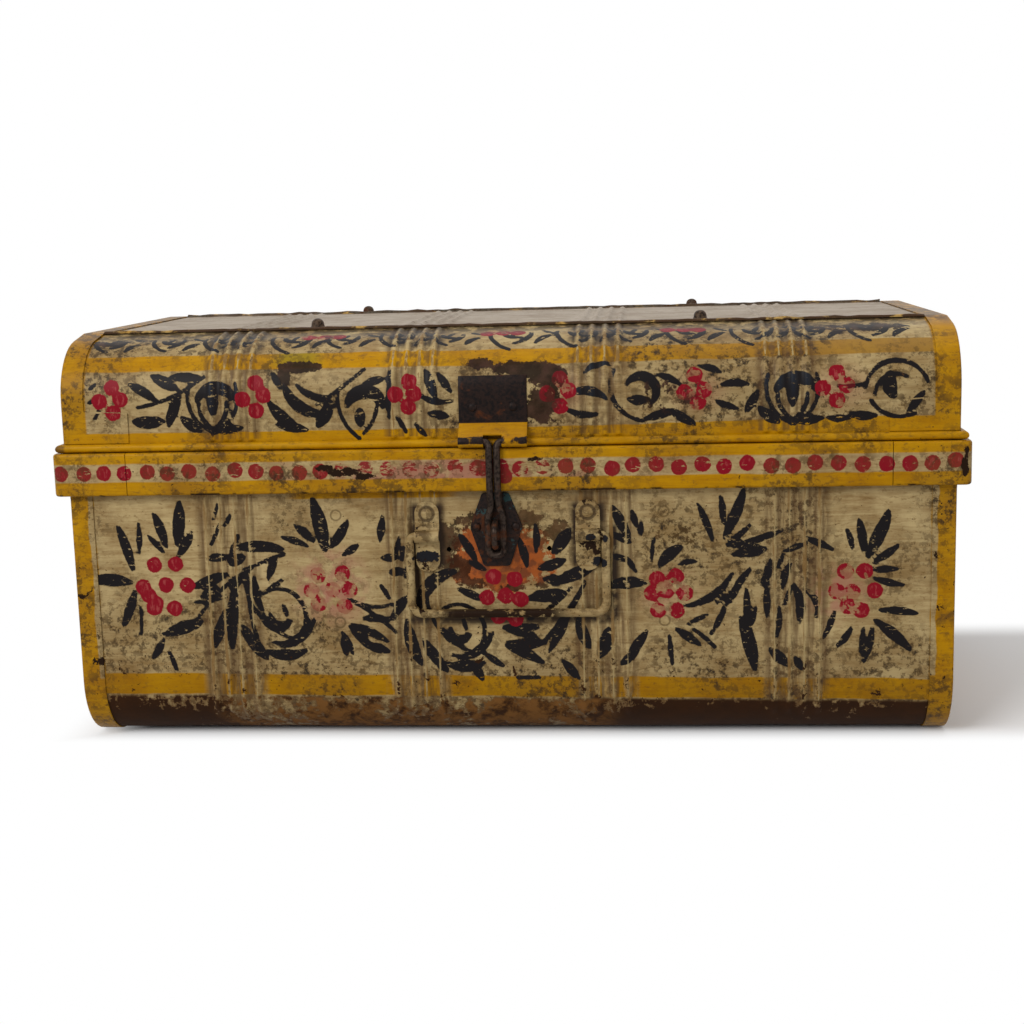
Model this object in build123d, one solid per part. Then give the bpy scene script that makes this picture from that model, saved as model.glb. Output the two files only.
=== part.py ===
from build123d import *
import os
from math import asin, atan2, ceil, cos, hypot, radians, sin, sqrt

# A small tin trunk for papers and keepsakes. Millimetres, +Z up, +X to the right and +Y to
# the back. The origin is the middle of the footprint, on the surface that the trunk stands on.

# Sheet and pressed ribs
sheet = 0.7             # tinplate of every panel
rib_height = 1.2        # how far a pressed rib stands out of its panel
rib_foot = 4.6          # width of a rib where it leaves the panel
ribs_in_group = 4
rib_groups = 4
rib_shift = 2.0         # the pattern sits a little to the right of the middle
rib_runout = 40.0       # degrees of the bottom bend that a case rib follows before it ends
case_rib_pitch = 8.2
case_group_spacing = 106.5
lid_rib_pitch = 7.4
lid_group_spacing = 102.5

# Case
case_length = 496.0
case_depth = 267.0      # over the wrapped sheet, without ribs
case_bottom_radius = 36.0
flange_width = 13.0     # end panels are turned over the wrapped sheets by this much
upstand = 11.0          # how far the case wall rises inside the lid
hem_depth = 5.0         # wall folded back on itself along the upstand

# Collar, the hollow band that the closed lid stands on
collar_reach = 7.0      # how far it stands out of the case on every side
collar_low = 146.5      # height of its lower face
collar_height = 24.2
collar_corner = 4.0
collar_edge = 1.2       # slope along its long edges
collar_return = 42.5    # how far an end length wraps onto the front and the back
joint_gap = 0.4         # open joint between two lengths

# Lid
lid_fit = 0.55          # room all round between the lid and the case wall inside it
lid_gap = 0.4           # between the rolled edge and the collar
edge_wire_radius = 1.5
roll_clearance = 0.05
skirt_height = 25.7     # straight wall above the wire
shoulder_radius = 33.0
shoulder_slope = 10.0   # degrees, of the sheet where it meets the top
seam_inset = 45.05      # from the lid's wall to the seam on its top
seam_height = 2.0       # fold that stands up along a seam
lid_tab = 38.0          # low part of a lid flange, longer than the flange by this much
lid_tab_height = 17.0
rib_end_gap = 0.3

# Studs on the lid
stud_radius = 3.8
stud_base_radius = 5.8
stud_base = 1.1
stud_height = 6.2
stud_shank = 2.0
stud_spacing = 222.0
stud_behind_front_seam = 8.0
stud_behind_back_seam = 8.5

# Hasp: a plate rolled round the ends of a doubled wire
hasp_x = -4.8           # everything of the fastening is set round this line
hasp_plate_width = 38.0
hasp_plate_thickness = 1.1
hasp_bend_rise = 10.15  # from the edge wire up to where the plate leaves the wall
hasp_plate_upper = 26.8 # height of the plate above that bend
hasp_slot_width = 10.2
hasp_slot_drop = 4.9    # the slot ends this far below the bend
hasp_wire = 4.0
hasp_arm_offset = 2.15  # each arm's centre from the middle line
hasp_eye_offset = 4.25
hasp_elbow = 3.2        # bend of the wire out of a knuckle
hasp_bow = 0.9          # how far the arms stay in front of the collar
hasp_bend_radius = 6.0
eye_above_staple = 9.5  # reach of the straight eye above and below the staple's middle
eye_below_staple = 12.3
hasp_eye_turn = 3.2     # bend at each lower corner of the eye
pin_clearance = 0.08    # running fit of every pin and wire in its knuckle
knuckle_gap = 0.3       # between a knuckle and the rolled edge behind it
knuckle_lift = 0.6      # between a knuckle and the collar below it

# Staple and its six-sided plate
staple_plate_width = 29.5
staple_plate_end_width = 15.0
staple_plate_gap = 1.6  # between the plate and the collar above it
staple_plate_height = 41.7
staple_plate_thickness = 1.2
staple_plate_rise = 1.5  # how far above its middle the plate is widest
staple_wire = 3.4
staple_reach = 14.0
staple_drop = 22.9      # from the plate's top to the middle of the staple
staple_span = 12.8      # between the leg centres
staple_turn = 5.2
staple_clench = 2.6     # radius of the flattened end of a leg
staple_clench_depth = 1.2
leg_clearance = 0.1
eye_gap = 0.4           # between the hasp's eye and the plate
old_hole_radius = 1.5   # two empty holes of a lost lock
old_hole_spacing = 56.3
old_hole_x = -3.6
old_hole_height = 112.8
small_sides = 8         # flats round a wire, a rivet and its hole
bend_step = 0.9         # longest straight step of a bent wire, in radii of the wire

# Handle
handle_x = 1.4
handle_wire = 4.8
handle_width = 109.8    # between the leg centres
handle_drop = 44.3
handle_pivot_drop = 19.7 # from a bracket's top to the bail's axis
handle_corner = 6.5
handle_elbow = 3.2
handle_end_play = 0.6
bracket_side_gap = 0.7  # between a bracket and the bail's leg beside it
bracket_width = 13.6
bracket_gap = 5.8       # between a bracket and the collar above it
bracket_length = 40.3
bracket_thickness = 1.2
wall_gap = 0.3          # between the hanging bail and the ribs behind it

# Rivets
rivet_radius = 1.5
rivet_head = 2.5
rivet_head_height = 1.2
rivet_chamfer = 0.7
bracket_rivet_head = 3.3
rivet_tail = 2.2
rivet_tail_height = 0.7
hasp_rivet_spacing = 22.2
hasp_rivet_rise = 9.5   # above the plate's bend
staple_rivet_spacing = 22.0
bracket_rivet_drop = 7.1 # from the bracket's top

# Hinges at the back
hinge_spacing = 213.0
hinge_width = 39.0
hinge_thickness = 1.2
hinge_pin = 3.6
hinge_foot = 4.5        # from the collar's lower face to the end of the case leaf
hinge_bend_rise = 11.65 # from the edge wire up to where the lid leaf leaves the wall
hinge_upper = 13.5      # height of the lid leaf above that bend
hinge_play = 0.25       # between two knuckles

# Heights and faces that follow
case_low = sheet
case_wall = case_depth / 2
case_end = case_length / 2
collar_length = case_length + 2 * collar_reach
collar_depth = case_depth + 2 * collar_reach
collar_top = collar_low + collar_height
case_top = collar_top + upstand
case_ribs_top = collar_low - rib_end_gap
staple_plate_high = collar_low - staple_plate_gap
staple_plate_low = staple_plate_high - staple_plate_height
staple_middle = staple_plate_high - staple_drop
staple_widest = (staple_plate_low + staple_plate_high) / 2 + staple_plate_rise
hasp_eye_top = staple_middle + eye_above_staple
hasp_eye_low = staple_middle - eye_below_staple
bracket_high = collar_low - bracket_gap
bracket_low = bracket_high - bracket_length
bracket_rivet_height = bracket_high - bracket_rivet_drop
handle_pivot = bracket_high - handle_pivot_drop
bracket_spacing = handle_width - handle_wire - bracket_width - 2 * bracket_side_gap
lid_wall = case_wall + lid_fit + sheet
lid_end = case_end + lid_fit + sheet
roll_radius = edge_wire_radius + roll_clearance + sheet
edge_wire_y = lid_wall + edge_wire_radius + roll_clearance
edge_wire_x = lid_end + edge_wire_radius + roll_clearance
edge_wire_z = collar_top + lid_gap + roll_radius
spring_z = edge_wire_z + skirt_height
hasp_bend = edge_wire_z + hasp_bend_rise
hasp_plate_top = hasp_bend + hasp_plate_upper
hasp_slot_top = hasp_bend - hasp_slot_drop
hasp_rivet_height = hasp_bend + hasp_rivet_rise
hinge_low = collar_low + hinge_foot
hinge_bend = edge_wire_z + hinge_bend_rise
hinge_high = hinge_bend + hinge_upper
shoulder_y = lid_wall - shoulder_radius
seam_y = lid_wall - seam_inset
flange_x = lid_end - flange_width
crown_y = shoulder_y + shoulder_radius * sin(radians(shoulder_slope))
crown_z = spring_z + shoulder_radius * cos(radians(shoulder_slope))
top_z = crown_z + (crown_y - seam_y) * sin(radians(shoulder_slope)) / cos(radians(shoulder_slope))
roll_front = edge_wire_y + roll_radius
hasp_bore = hasp_wire / 2 + pin_clearance
hasp_knuckle = hasp_bore + hasp_plate_thickness
hasp_axis_y = -(roll_front + knuckle_gap + hasp_knuckle)
hasp_axis_z = collar_top + knuckle_lift + hasp_knuckle
hinge_bore = hinge_pin / 2 + pin_clearance
hinge_knuckle = hinge_bore + hinge_thickness
hinge_axis_y = collar_depth / 2 + hinge_knuckle
hinge_axis_z = collar_top + knuckle_lift + hinge_knuckle
bracket_back = case_wall + rib_height
handle_axis_y = -(bracket_back + wall_gap + handle_wire / 2)
bracket_bore = handle_wire / 2 + pin_clearance


def prism(section, start, end):
    """A section of the YZ plane drawn out along X from start to end."""
    return extrude(Pos(start, 0, 0) * section, amount=end - start, dir=(1, 0, 0))


def block(x, y, z):
    """A box given by its lowest and highest value along each axis."""
    middle = Pos((x[0] + x[1]) / 2, (y[0] + y[1]) / 2, (z[0] + z[1]) / 2)
    return middle * Box(x[1] - x[0], y[1] - y[0], z[1] - z[0])


def bar_y(x, z, radius, start, end):
    """A bar along Y with a few flats, for small pieces and their holes."""
    section = Plane.XZ * Pos(x, z) * RegularPolygon(radius, small_sides)
    return Pos(0, start, 0) * extrude(section, amount=start - end)


def wire_along(path, radius):
    """A wire with a few flats along a path, its bends taken in short straight steps."""
    points = [path @ 0]
    travelled = 0
    for edge in path.order_edges():
        steps = 1 if edge.geom_type == GeomType.LINE else ceil(edge.length / (bend_step * radius))
        points += [path @ ((travelled + edge.length * (k + 1) / steps) / path.length) for k in range(steps)]
        travelled += edge.length
    line = Polyline(*points)
    start = Plane(origin=line @ 0, z_dir=line % 0)
    return sweep(start * RegularPolygon(radius, small_sides), path=line, transition=Transition.RIGHT)


def trough(growth, top):
    """Filled section of the case, its sides and bottom moved out by growth."""
    half = case_wall + growth
    low = case_low - growth
    block_section = Plane.YZ * Pos(0, (low + top) / 2) * Rectangle(2 * half, top - low)
    return fillet(block_section.vertices().group_by(Axis.Z)[0], case_bottom_radius + growth)


def shoulder(growth, low, inner_y):
    """Filled section of the lid's front, from its skirt over the shoulder to inner_y."""
    wall = -lid_wall - growth
    radius = shoulder_radius + growth
    half_turn = radians((90 + shoulder_slope) / 2)
    slope = radians(shoulder_slope)
    middle = (-shoulder_y - radius * sin(half_turn), spring_z + radius * cos(half_turn))
    crown = (-shoulder_y - radius * sin(slope), spring_z + radius * cos(slope))
    inner_z = crown[1] + (-inner_y - crown[0]) * sin(slope) / cos(slope)
    rise = Line((wall, low), (wall, spring_z))
    curve = ThreePointArc((wall, spring_z), middle, crown)
    rest = Polyline(crown, (-inner_y, inner_z), (-inner_y, low), (wall, low))
    return Plane.YZ * make_face(Curve() + [rise, curve, rest])


def rib_along(spine):
    """A pressed rib on the left of a spine that lies in the YZ plane, seen from +X."""
    foot_plane = Plane(origin=spine @ 0, x_dir=(1, 0, 0), z_dir=spine % 0)
    root = sheet / 2
    outline = Polygon(
        (-rib_foot / 2, -root),
        (rib_foot / 2, -root),
        (0, rib_height),
        align=None,
    )
    return sweep(foot_plane * outline, path=spine)


def rib_places(spacing, pitch):
    """The X of every rib: groups at one spacing, ribs of a group at one pitch."""
    first_group = rib_shift - spacing * (rib_groups - 1) / 2
    first_rib = -pitch * (ribs_in_group - 1) / 2
    return [
        first_group + spacing * group + first_rib + pitch * rib
        for group in range(rib_groups)
        for rib in range(ribs_in_group)
    ]


def both_sides(middle, spacing):
    """The two places at one spacing round a middle."""
    return [middle - spacing / 2, middle + spacing / 2]


def case_shell():
    """Front, bottom and back in one sheet, ribbed, with a hem along both long edges."""
    length = case_end - sheet
    skin = trough(0, case_top) - trough(-sheet, case_top + sheet)
    shell = prism(skin, -length, length)
    hem_low = case_top - hem_depth
    for side in (-1, 1):
        near, far = sorted((side * (case_wall - 2 * sheet), side * (case_wall - sheet / 2)))
        shell += block((-length + sheet, length - sheet), (near, far), (hem_low, case_top))
    rib = case_rib()
    for x in rib_places(case_group_spacing, case_rib_pitch):
        shell += [Pos(x, 0, 0) * rib, Pos(x, 0, 0) * mirror(rib, about=Plane.XZ)]
    return shell - case_front_holes(case_wall - 3 * sheet, case_wall + rib_height)


def case_rib():
    """A rib down the front that runs out in the bottom bend."""
    bend_z = case_low + case_bottom_radius
    bend_y = -case_wall + case_bottom_radius
    wall = Line((0, -case_wall, case_ribs_top), (0, -case_wall, bend_z))
    half, full = radians(rib_runout / 2), radians(rib_runout)
    bend = ThreePointArc(
        (0, -case_wall, bend_z),
        (0, bend_y - case_bottom_radius * cos(half), bend_z - case_bottom_radius * sin(half)),
        (0, bend_y - case_bottom_radius * cos(full), bend_z - case_bottom_radius * sin(full)),
    )
    return rib_along(Wire([wall, bend]))


def case_front_holes(inner, outer):
    """Every hole through the front: rivets, staple legs and two left from a lost lock."""
    holes = [(x, staple_widest, rivet_radius) for x in staple_rivet_places()]
    holes += [(x, bracket_rivet_height, rivet_radius) for x in bracket_places()]
    holes += [(hasp_x, z, staple_wire / 2 + leg_clearance) for z in staple_leg_heights()]
    holes += [(x, old_hole_height, old_hole_radius) for x in both_sides(old_hole_x, old_hole_spacing)]
    return [bar_y(x, z, radius, -outer, -inner) for x, z, radius in holes]


def staple_rivet_places():
    return both_sides(hasp_x, staple_rivet_spacing)


def bracket_places():
    return both_sides(handle_x, bracket_spacing)


def staple_leg_heights():
    return both_sides(staple_middle, staple_span)


def case_end_panel(side):
    """An end of the case: a plate with its edge turned over the wrapped sheet."""
    plate_in = case_end - sheet
    lapped = trough(sheet, case_ribs_top)
    panel = prism(lapped, plate_in, case_end)
    flange = lapped - trough(0, case_ribs_top + sheet)
    panel += prism(flange, case_end - flange_width, plate_in)
    panel += prism(trough(0, case_top), plate_in, case_end)
    hem_half = case_wall - 2 * sheet - joint_gap
    panel += block((plate_in - sheet, plate_in), (-hem_half, hem_half), (case_top - hem_depth, case_top))
    return panel if side > 0 else mirror(panel, about=Plane.YZ)


def collar_ring():
    """The whole collar: a hollow band open towards the case wall."""
    middle = Pos(0, 0, (collar_low + collar_top) / 2)
    outline = RectangleRounded(collar_length, collar_depth, collar_corner)
    band = middle * extrude(outline, amount=collar_height / 2, both=True)
    long_edges = band.faces().sort_by(Axis.Z)[0].edges() + band.faces().sort_by(Axis.Z)[-1].edges()
    band = chamfer(long_edges, collar_edge)
    inner = Rectangle(collar_length - 4 * sheet, collar_depth - 4 * sheet)
    hollow = middle * extrude(inner, amount=collar_height / 2 - sheet, both=True)
    case_room = middle * Box(case_length, case_depth, collar_height + sheet)
    return band - hollow - case_room


def collar_lengths():
    """The ring cut into a front, a back and two ends that turn onto front and back."""
    ring = collar_ring()
    cut_x = collar_length / 2 - collar_return
    reach = collar_depth
    levels = (collar_low - sheet, collar_top + sheet)
    strip_x = (-cut_x + joint_gap / 2, cut_x - joint_gap / 2)
    end_x = (cut_x + joint_gap / 2, collar_length)
    return {
        "collar_front": ring & block(strip_x, (-reach, 0), levels),
        "collar_back": ring & block(strip_x, (0, reach), levels),
        "collar_end_left": ring & block((-end_x[1], -end_x[0]), (-reach, reach), levels),
        "collar_end_right": ring & block(end_x, (-reach, reach), levels),
    }


def edge_path():
    """The line of the wire in the lid's rolled edge."""
    corners = [(-edge_wire_x, -edge_wire_y), (edge_wire_x, -edge_wire_y),
               (edge_wire_x, edge_wire_y), (-edge_wire_x, edge_wire_y)]
    return Wire.make_polygon([(x, y, edge_wire_z) for x, y in corners], close=True)


def edge_bar(section):
    """A bar all along the rolled edge, mitred at the corners."""
    path = edge_path()
    start = Plane(origin=path @ 0, z_dir=path % 0)
    return sweep(start * section, path=path, transition=Transition.RIGHT)


def edge_roll():
    room = RegularPolygon(edge_wire_radius + roll_clearance, small_sides)
    return edge_bar(Circle(roll_radius)) - edge_bar(room)


def roll_quarter(along_front):
    """Plan of the part of the rolled edge that belongs to the front or to the right end."""
    reach = 4 * roll_radius
    x, y = edge_wire_x, edge_wire_y
    front = [(-x - reach, -y - reach), (x + reach, -y - reach), (x - reach, -y + reach), (-x + reach, -y + reach)]
    end = [(x + reach, -y - reach), (x + reach, y + reach), (x - reach, y - reach), (x - reach, -y + reach)]
    plan = Polygon(*(front if along_front else end), align=None)
    low = Pos(0, 0, edge_wire_z - reach)
    return low * extrude(plan, amount=2 * reach)


def lid_shoulder(roll):
    """The front sheet of the lid: rolled edge, skirt, shoulder and the edge of the seam."""
    length = lid_end - sheet
    skin = shoulder(0, edge_wire_z, seam_y) - shoulder(-sheet, edge_wire_z - sheet, seam_y)
    sheet_body = prism(skin, -length, length)
    fold_x = flange_x - joint_gap
    fold = block((-fold_x, fold_x), (-seam_y - sheet, -seam_y), (top_z - sheet, top_z + seam_height - sheet))
    ribs_low = edge_wire_z + roll_radius + rib_end_gap
    slope = radians(shoulder_slope)
    end_y = seam_y + seam_height + 2 * sheet
    end_z = top_z - (end_y - seam_y) * sin(slope) / cos(slope)
    half_turn = radians((90 + shoulder_slope) / 2)
    middle = (0, -shoulder_y - shoulder_radius * sin(half_turn), spring_z + shoulder_radius * cos(half_turn))
    run = Line((0, -end_y, end_z), (0, -crown_y, crown_z))
    curve = ThreePointArc((0, -crown_y, crown_z), middle, (0, -lid_wall, spring_z))
    fall = Line((0, -lid_wall, spring_z), (0, -lid_wall, ribs_low))
    rib = rib_along(Wire([run, curve, fall]))
    body = sheet_body + fold
    body += [Pos(x, 0, 0) * rib for x in rib_places(lid_group_spacing, lid_rib_pitch)]
    return body + (roll & roll_quarter(True))


def hasp_rivet_places():
    return both_sides(hasp_x, hasp_rivet_spacing)


def hinge_places():
    return both_sides(rib_shift, hinge_spacing)


def stud_places():
    return both_sides(0, stud_spacing)


def lid_front_shoulder(roll):
    holes = [bar_y(x, hasp_rivet_height, rivet_radius, -lid_wall - sheet, -lid_wall + 2 * sheet)
             for x in hasp_rivet_places()]
    return lid_shoulder(roll) - holes


def back_stud_frame(x):
    """Seat of a stud on the sloping back sheet, its Z square to the sheet."""
    slope = radians(shoulder_slope)
    y = seam_y + stud_behind_back_seam
    z = top_z - stud_behind_back_seam * sin(slope) / cos(slope)
    return Pos(x, y, z) * Rot(-shoulder_slope, 0, 0)


def front_stud_frame(x):
    return Pos(x, -seam_y + stud_behind_front_seam, top_z)


def shank_hole(frame):
    return frame * extrude(RegularPolygon(stud_shank, small_sides), amount=3 * sheet, both=True)


def lid_back_shoulder(roll):
    back = mirror(lid_shoulder(mirror(roll, about=Plane.XZ)), about=Plane.XZ)
    return back - [shank_hole(back_stud_frame(x)) for x in stud_places()]


def lid_top_panel():
    """The flat top, folded up, over and down along both seams."""
    length = lid_end - sheet
    fold_x = flange_x - joint_gap
    panel = block((-length, length), (-seam_y, seam_y), (top_z - sheet, top_z))
    cap_top = top_z + seam_height
    seam_back = seam_y - sheet
    seam_front = seam_y + 2 * sheet
    for side in (-1, 1):
        riser = sorted((side * seam_back, side * seam_y))
        cover = sorted((side * seam_back, side * seam_front))
        lip = sorted((side * (seam_y + sheet), side * seam_front))
        panel += block((-fold_x, fold_x), riser, (top_z - sheet, cap_top))
        panel += block((-fold_x, fold_x), cover, (cap_top - sheet, cap_top))
        panel += block((-fold_x, fold_x), lip, (top_z + joint_gap, cap_top))
    run = seam_back - 2 * rib_end_gap
    rib = rib_along(Wire([Line((0, run, top_z), (0, -run, top_z))]))
    panel += [Pos(x, 0, 0) * rib for x in rib_places(lid_group_spacing, lid_rib_pitch)]
    return panel - [shank_hole(front_stud_frame(x)) for x in stud_places()]


def lid_section(growth, low):
    """Filled section of the whole lid."""
    reach = collar_depth
    below_top = Plane.YZ * Pos(0, (low + top_z + growth) / 2) * Rectangle(2 * reach, top_z + growth - low)
    front = shoulder(growth, low, 0) & below_top
    return front + mirror(front, about=Plane.XZ)


def lid_end_panel(side, roll):
    """An end of the lid: a plate with its edge turned over the sheets, and a long low tab."""
    plate_in = lid_end - sheet
    above_roll = edge_wire_z + roll_radius + sheet / 2
    lapped = lid_section(sheet, above_roll)
    flange = lapped - lid_section(0, above_roll - sheet)
    panel = prism(lapped, plate_in, lid_end)
    panel += prism(flange, flange_x, plate_in)
    tab_levels = (above_roll, above_roll + lid_tab_height)
    panel += prism(flange, flange_x - lid_tab + flange_width, flange_x) & block(
        (0, lid_end), (-collar_depth, collar_depth), tab_levels)
    plate_half = lid_wall - sheet
    panel += block((plate_in, lid_end), (-plate_half, plate_half), (edge_wire_z, above_roll + sheet))
    panel += roll & roll_quarter(False)
    return panel if side > 0 else mirror(panel, about=Plane.YZ)


def rolled_leaf(wall, thickness, bend_z, axis, bore, top_section):
    """Section of a strap on a wall that leaves it at bend_z and rolls into a knuckle."""
    outer = (-wall - thickness, bend_z)
    reach = hypot(axis[0] - outer[0], axis[1] - outer[1])
    knuckle = bore + thickness
    aim = atan2(axis[1] - outer[1], axis[0] - outer[0])
    tilt = aim - asin(knuckle / reach)
    length = sqrt(reach * reach - knuckle * knuckle)
    along = (cos(tilt), sin(tilt))
    inward = (-sin(tilt), cos(tilt))
    end = (outer[0] + length * along[0], outer[1] + length * along[1])
    strap = Polygon(
        outer,
        end,
        (end[0] + thickness * inward[0], end[1] + thickness * inward[1]),
        (outer[0] + thickness * inward[0], outer[1] + thickness * inward[1]),
        (-wall, bend_z),
        align=None,
    )
    ring = Pos(*axis) * (Circle(knuckle) - Circle(bore))
    return Plane.YZ * (strap + ring) + top_section


def wall_strip(wall, thickness, low, high):
    return Plane.YZ * Pos(-wall - thickness / 2, (low + high) / 2) * Rectangle(thickness, high - low)


def hasp_plate():
    """Plate on the lid's front, bent with the shoulder, with two knuckles and a slot."""
    skin = shoulder(hasp_plate_thickness, hasp_bend, seam_y) - shoulder(0, hasp_bend - sheet, seam_y)
    reach = Plane.YZ * Pos(-lid_wall, (hasp_bend + hasp_plate_top) / 2) * Rectangle(
        lid_wall, hasp_plate_top - hasp_bend)
    axis = (hasp_axis_y, hasp_axis_z)
    section = rolled_leaf(lid_wall, hasp_plate_thickness, hasp_bend, axis, hasp_bore, skin & reach)
    half = hasp_plate_width / 2
    plate = prism(section, hasp_x - half, hasp_x + half)
    slot = (hasp_x - hasp_slot_width / 2, hasp_x + hasp_slot_width / 2)
    plate -= block(slot, (-collar_depth, -lid_wall), (collar_low, hasp_slot_top))
    outer = lid_wall + 2 * hasp_plate_thickness
    return plate - [bar_y(x, hasp_rivet_height, rivet_radius, -outer, -lid_wall) for x in hasp_rivet_places()]


def hasp_loop():
    """One wire: out of a knuckle, down, round the eye, up and into the other knuckle."""
    arm_y = -(collar_depth / 2 + hasp_bow + hasp_wire / 2)
    eye_y = -(case_wall + staple_plate_thickness + eye_gap + hasp_wire / 2)
    end_x = hasp_plate_width / 2 - handle_end_play
    arm, eye = hasp_arm_offset, hasp_eye_offset
    half = [
        (end_x, hasp_axis_y, hasp_axis_z),
        (arm, hasp_axis_y, hasp_axis_z),
        (arm, arm_y, collar_top - hasp_wire / 2),
        (arm, arm_y, collar_low + hasp_wire / 2),
        (arm, eye_y, hasp_eye_top + hasp_wire + hasp_wire / 2),
        (eye, eye_y, hasp_eye_top),
        (eye, eye_y, hasp_eye_low),
    ]
    points = [(-x, y, z) for x, y, z in half] + list(reversed(half))
    bends = [hasp_elbow, hasp_bend_radius, hasp_bend_radius, hasp_bend_radius, hasp_bend_radius]
    bends += [hasp_eye_turn, hasp_eye_turn] + list(reversed(bends))
    path = FilletPolyline(*points, radius=bends)
    loop = wire_along(path, hasp_wire / 2)
    loop += journals(end_x, hasp_slot_width / 2, hasp_wire / 2, (hasp_axis_y, hasp_axis_z))
    return Pos(hasp_x, 0, 0) * loop


def journals(outer, inner, radius, axis):
    """The two round ends of a wire that turn in knuckles."""
    length = outer - inner
    middle = (outer + inner) / 2
    return [Pos(x, *axis) * Rot(0, 90, 0) * Cylinder(radius, length) for x in (-middle, middle)]


def staple_plate():
    """Six-sided plate on the case front under the hasp's eye."""
    half, end_half = staple_plate_width / 2, staple_plate_end_width / 2
    outline = Plane.XZ * Polygon(
        (hasp_x - end_half, staple_plate_low),
        (hasp_x + end_half, staple_plate_low),
        (hasp_x + half, staple_widest),
        (hasp_x + end_half, staple_plate_high),
        (hasp_x - end_half, staple_plate_high),
        (hasp_x - half, staple_widest),
        align=None,
    )
    plate = Pos(0, -case_wall, 0) * extrude(outline, amount=staple_plate_thickness)
    return plate - case_front_holes(case_wall - sheet, case_wall + 2 * staple_plate_thickness)


def staple():
    """Bent wire that stands out through the eye, its legs clenched inside the case."""
    front = -(case_wall + staple_plate_thickness + staple_reach - staple_wire / 2)
    inner = -(case_wall - sheet - staple_clench_depth)
    low, high = staple_leg_heights()
    corners = ((hasp_x, inner, low), (hasp_x, front, low), (hasp_x, front, high), (hasp_x, inner, high))
    wire = wire_along(FilletPolyline(*corners, radius=staple_turn), staple_wire / 2)
    return wire + [bar_y(hasp_x, z, staple_clench, -(case_wall - sheet), inner) for z in (low, high)]


def handle_bracket(x):
    """Round-ended strap with a bulge over the end of the bail."""
    back, front = -bracket_back, -bracket_back - bracket_thickness
    strap = SlotCenterToCenter(bracket_high - bracket_low - bracket_width, bracket_width, rotation=90)
    place = Plane.XZ * Pos(x, (bracket_high + bracket_low) / 2)
    body = Pos(0, back, 0) * extrude(place * strap, amount=bracket_thickness)
    outer_radius = bracket_bore + bracket_thickness
    axis = (handle_axis_y, handle_pivot)
    before_back = Pos(back - outer_radius, axis[1]) * Rectangle(2 * outer_radius, 4 * outer_radius)
    bulge = (Pos(*axis) * Circle(outer_radius) & before_back) + Pos(
        (axis[0] + back) / 2, axis[1]) * Rectangle(back - axis[0], 2 * outer_radius)
    bulge_room = Pos(*axis) * Circle(bracket_bore) + Pos(
        (axis[0] + back + sheet) / 2, axis[1]) * Rectangle(back + sheet - axis[0], 2 * bracket_bore)
    half = bracket_width / 2
    body += prism(Plane.YZ * bulge, x - half, x + half)
    body -= prism(Plane.YZ * bulge_room, x - bracket_width, x + bracket_width)
    return body - bar_y(x, bracket_rivet_height, rivet_radius, front - sheet, back + sheet)


def handle_bail():
    """A wire bail, its ends turned inwards into the brackets."""
    leg = handle_width / 2
    end_x = bracket_spacing / 2 - bracket_width / 2 + handle_end_play
    low = handle_pivot - handle_drop
    points = [
        (-end_x, handle_axis_y, handle_pivot),
        (-leg, handle_axis_y, handle_pivot),
        (-leg, handle_axis_y, low),
        (leg, handle_axis_y, low),
        (leg, handle_axis_y, handle_pivot),
        (end_x, handle_axis_y, handle_pivot),
    ]
    path = FilletPolyline(*points, radius=[handle_elbow, handle_corner, handle_corner, handle_elbow])
    bail = wire_along(path, handle_wire / 2)
    bail += journals(leg - handle_elbow, end_x, handle_wire / 2, (handle_axis_y, handle_pivot))
    return Pos(handle_x, 0, 0) * bail


def knuckle_spans(x):
    """Case, lid and case knuckles of a hinge, as ranges of X."""
    third = hinge_width / 3
    low = x - hinge_width / 2
    return [(low + third * k + hinge_play / 2, low + third * (k + 1) - hinge_play / 2) for k in range(3)]


def hinge_case_leaf(x):
    """Leaf on the collar's back with the two outer knuckles."""
    face = collar_depth / 2
    ring = Pos(hinge_axis_y, hinge_axis_z) * (Circle(hinge_knuckle) - Circle(hinge_bore))
    strap_low = Pos(face + hinge_thickness / 2, (hinge_low + collar_top) / 2) * Rectangle(
        hinge_thickness, collar_top - hinge_low)
    strap_high = Pos(face + hinge_thickness / 2, (collar_top + hinge_axis_z) / 2) * Rectangle(
        hinge_thickness, hinge_axis_z - collar_top)
    half = hinge_width / 2
    leaf = prism(Plane.YZ * strap_low, x - half, x + half)
    spans = knuckle_spans(x)
    leaf += [prism(Plane.YZ * (ring + strap_high), *span) for span in (spans[0], spans[2])]
    return leaf


def hinge_lid_leaf(x):
    """Leaf on the lid's back wall, cranked over the rolled edge to the middle knuckle."""
    upright = wall_strip(lid_wall, hinge_thickness, hinge_bend, hinge_high)
    axis = (-hinge_axis_y, hinge_axis_z)
    section = rolled_leaf(lid_wall, hinge_thickness, hinge_bend, axis, hinge_bore, upright)
    half = hinge_width / 2
    span = knuckle_spans(x)[1]
    leaf = prism(upright, x - half, x + half) + prism(section, *span)
    return mirror(leaf, about=Plane.XZ)


def hinge_pin_rod(x):
    length = hinge_width - 2 * hinge_play
    return Pos(x, hinge_axis_y, hinge_axis_z) * Rot(0, 90, 0) * Cylinder(hinge_pin / 2, length)


def rivet(seat, grip, head_radius):
    """A rivet along Y: head in front of seat, shank through grip, flattened tail behind."""
    head = bar_y(0, 0, head_radius, -seat - rivet_head_height, -seat)
    head = chamfer(head.faces().sort_by(Axis.Y)[0].edges(), rivet_chamfer)
    tail_start = -seat + grip
    shank = bar_y(0, 0, rivet_radius, -seat, tail_start)
    return head + shank + bar_y(0, 0, rivet_tail, tail_start, tail_start + rivet_tail_height)


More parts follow.
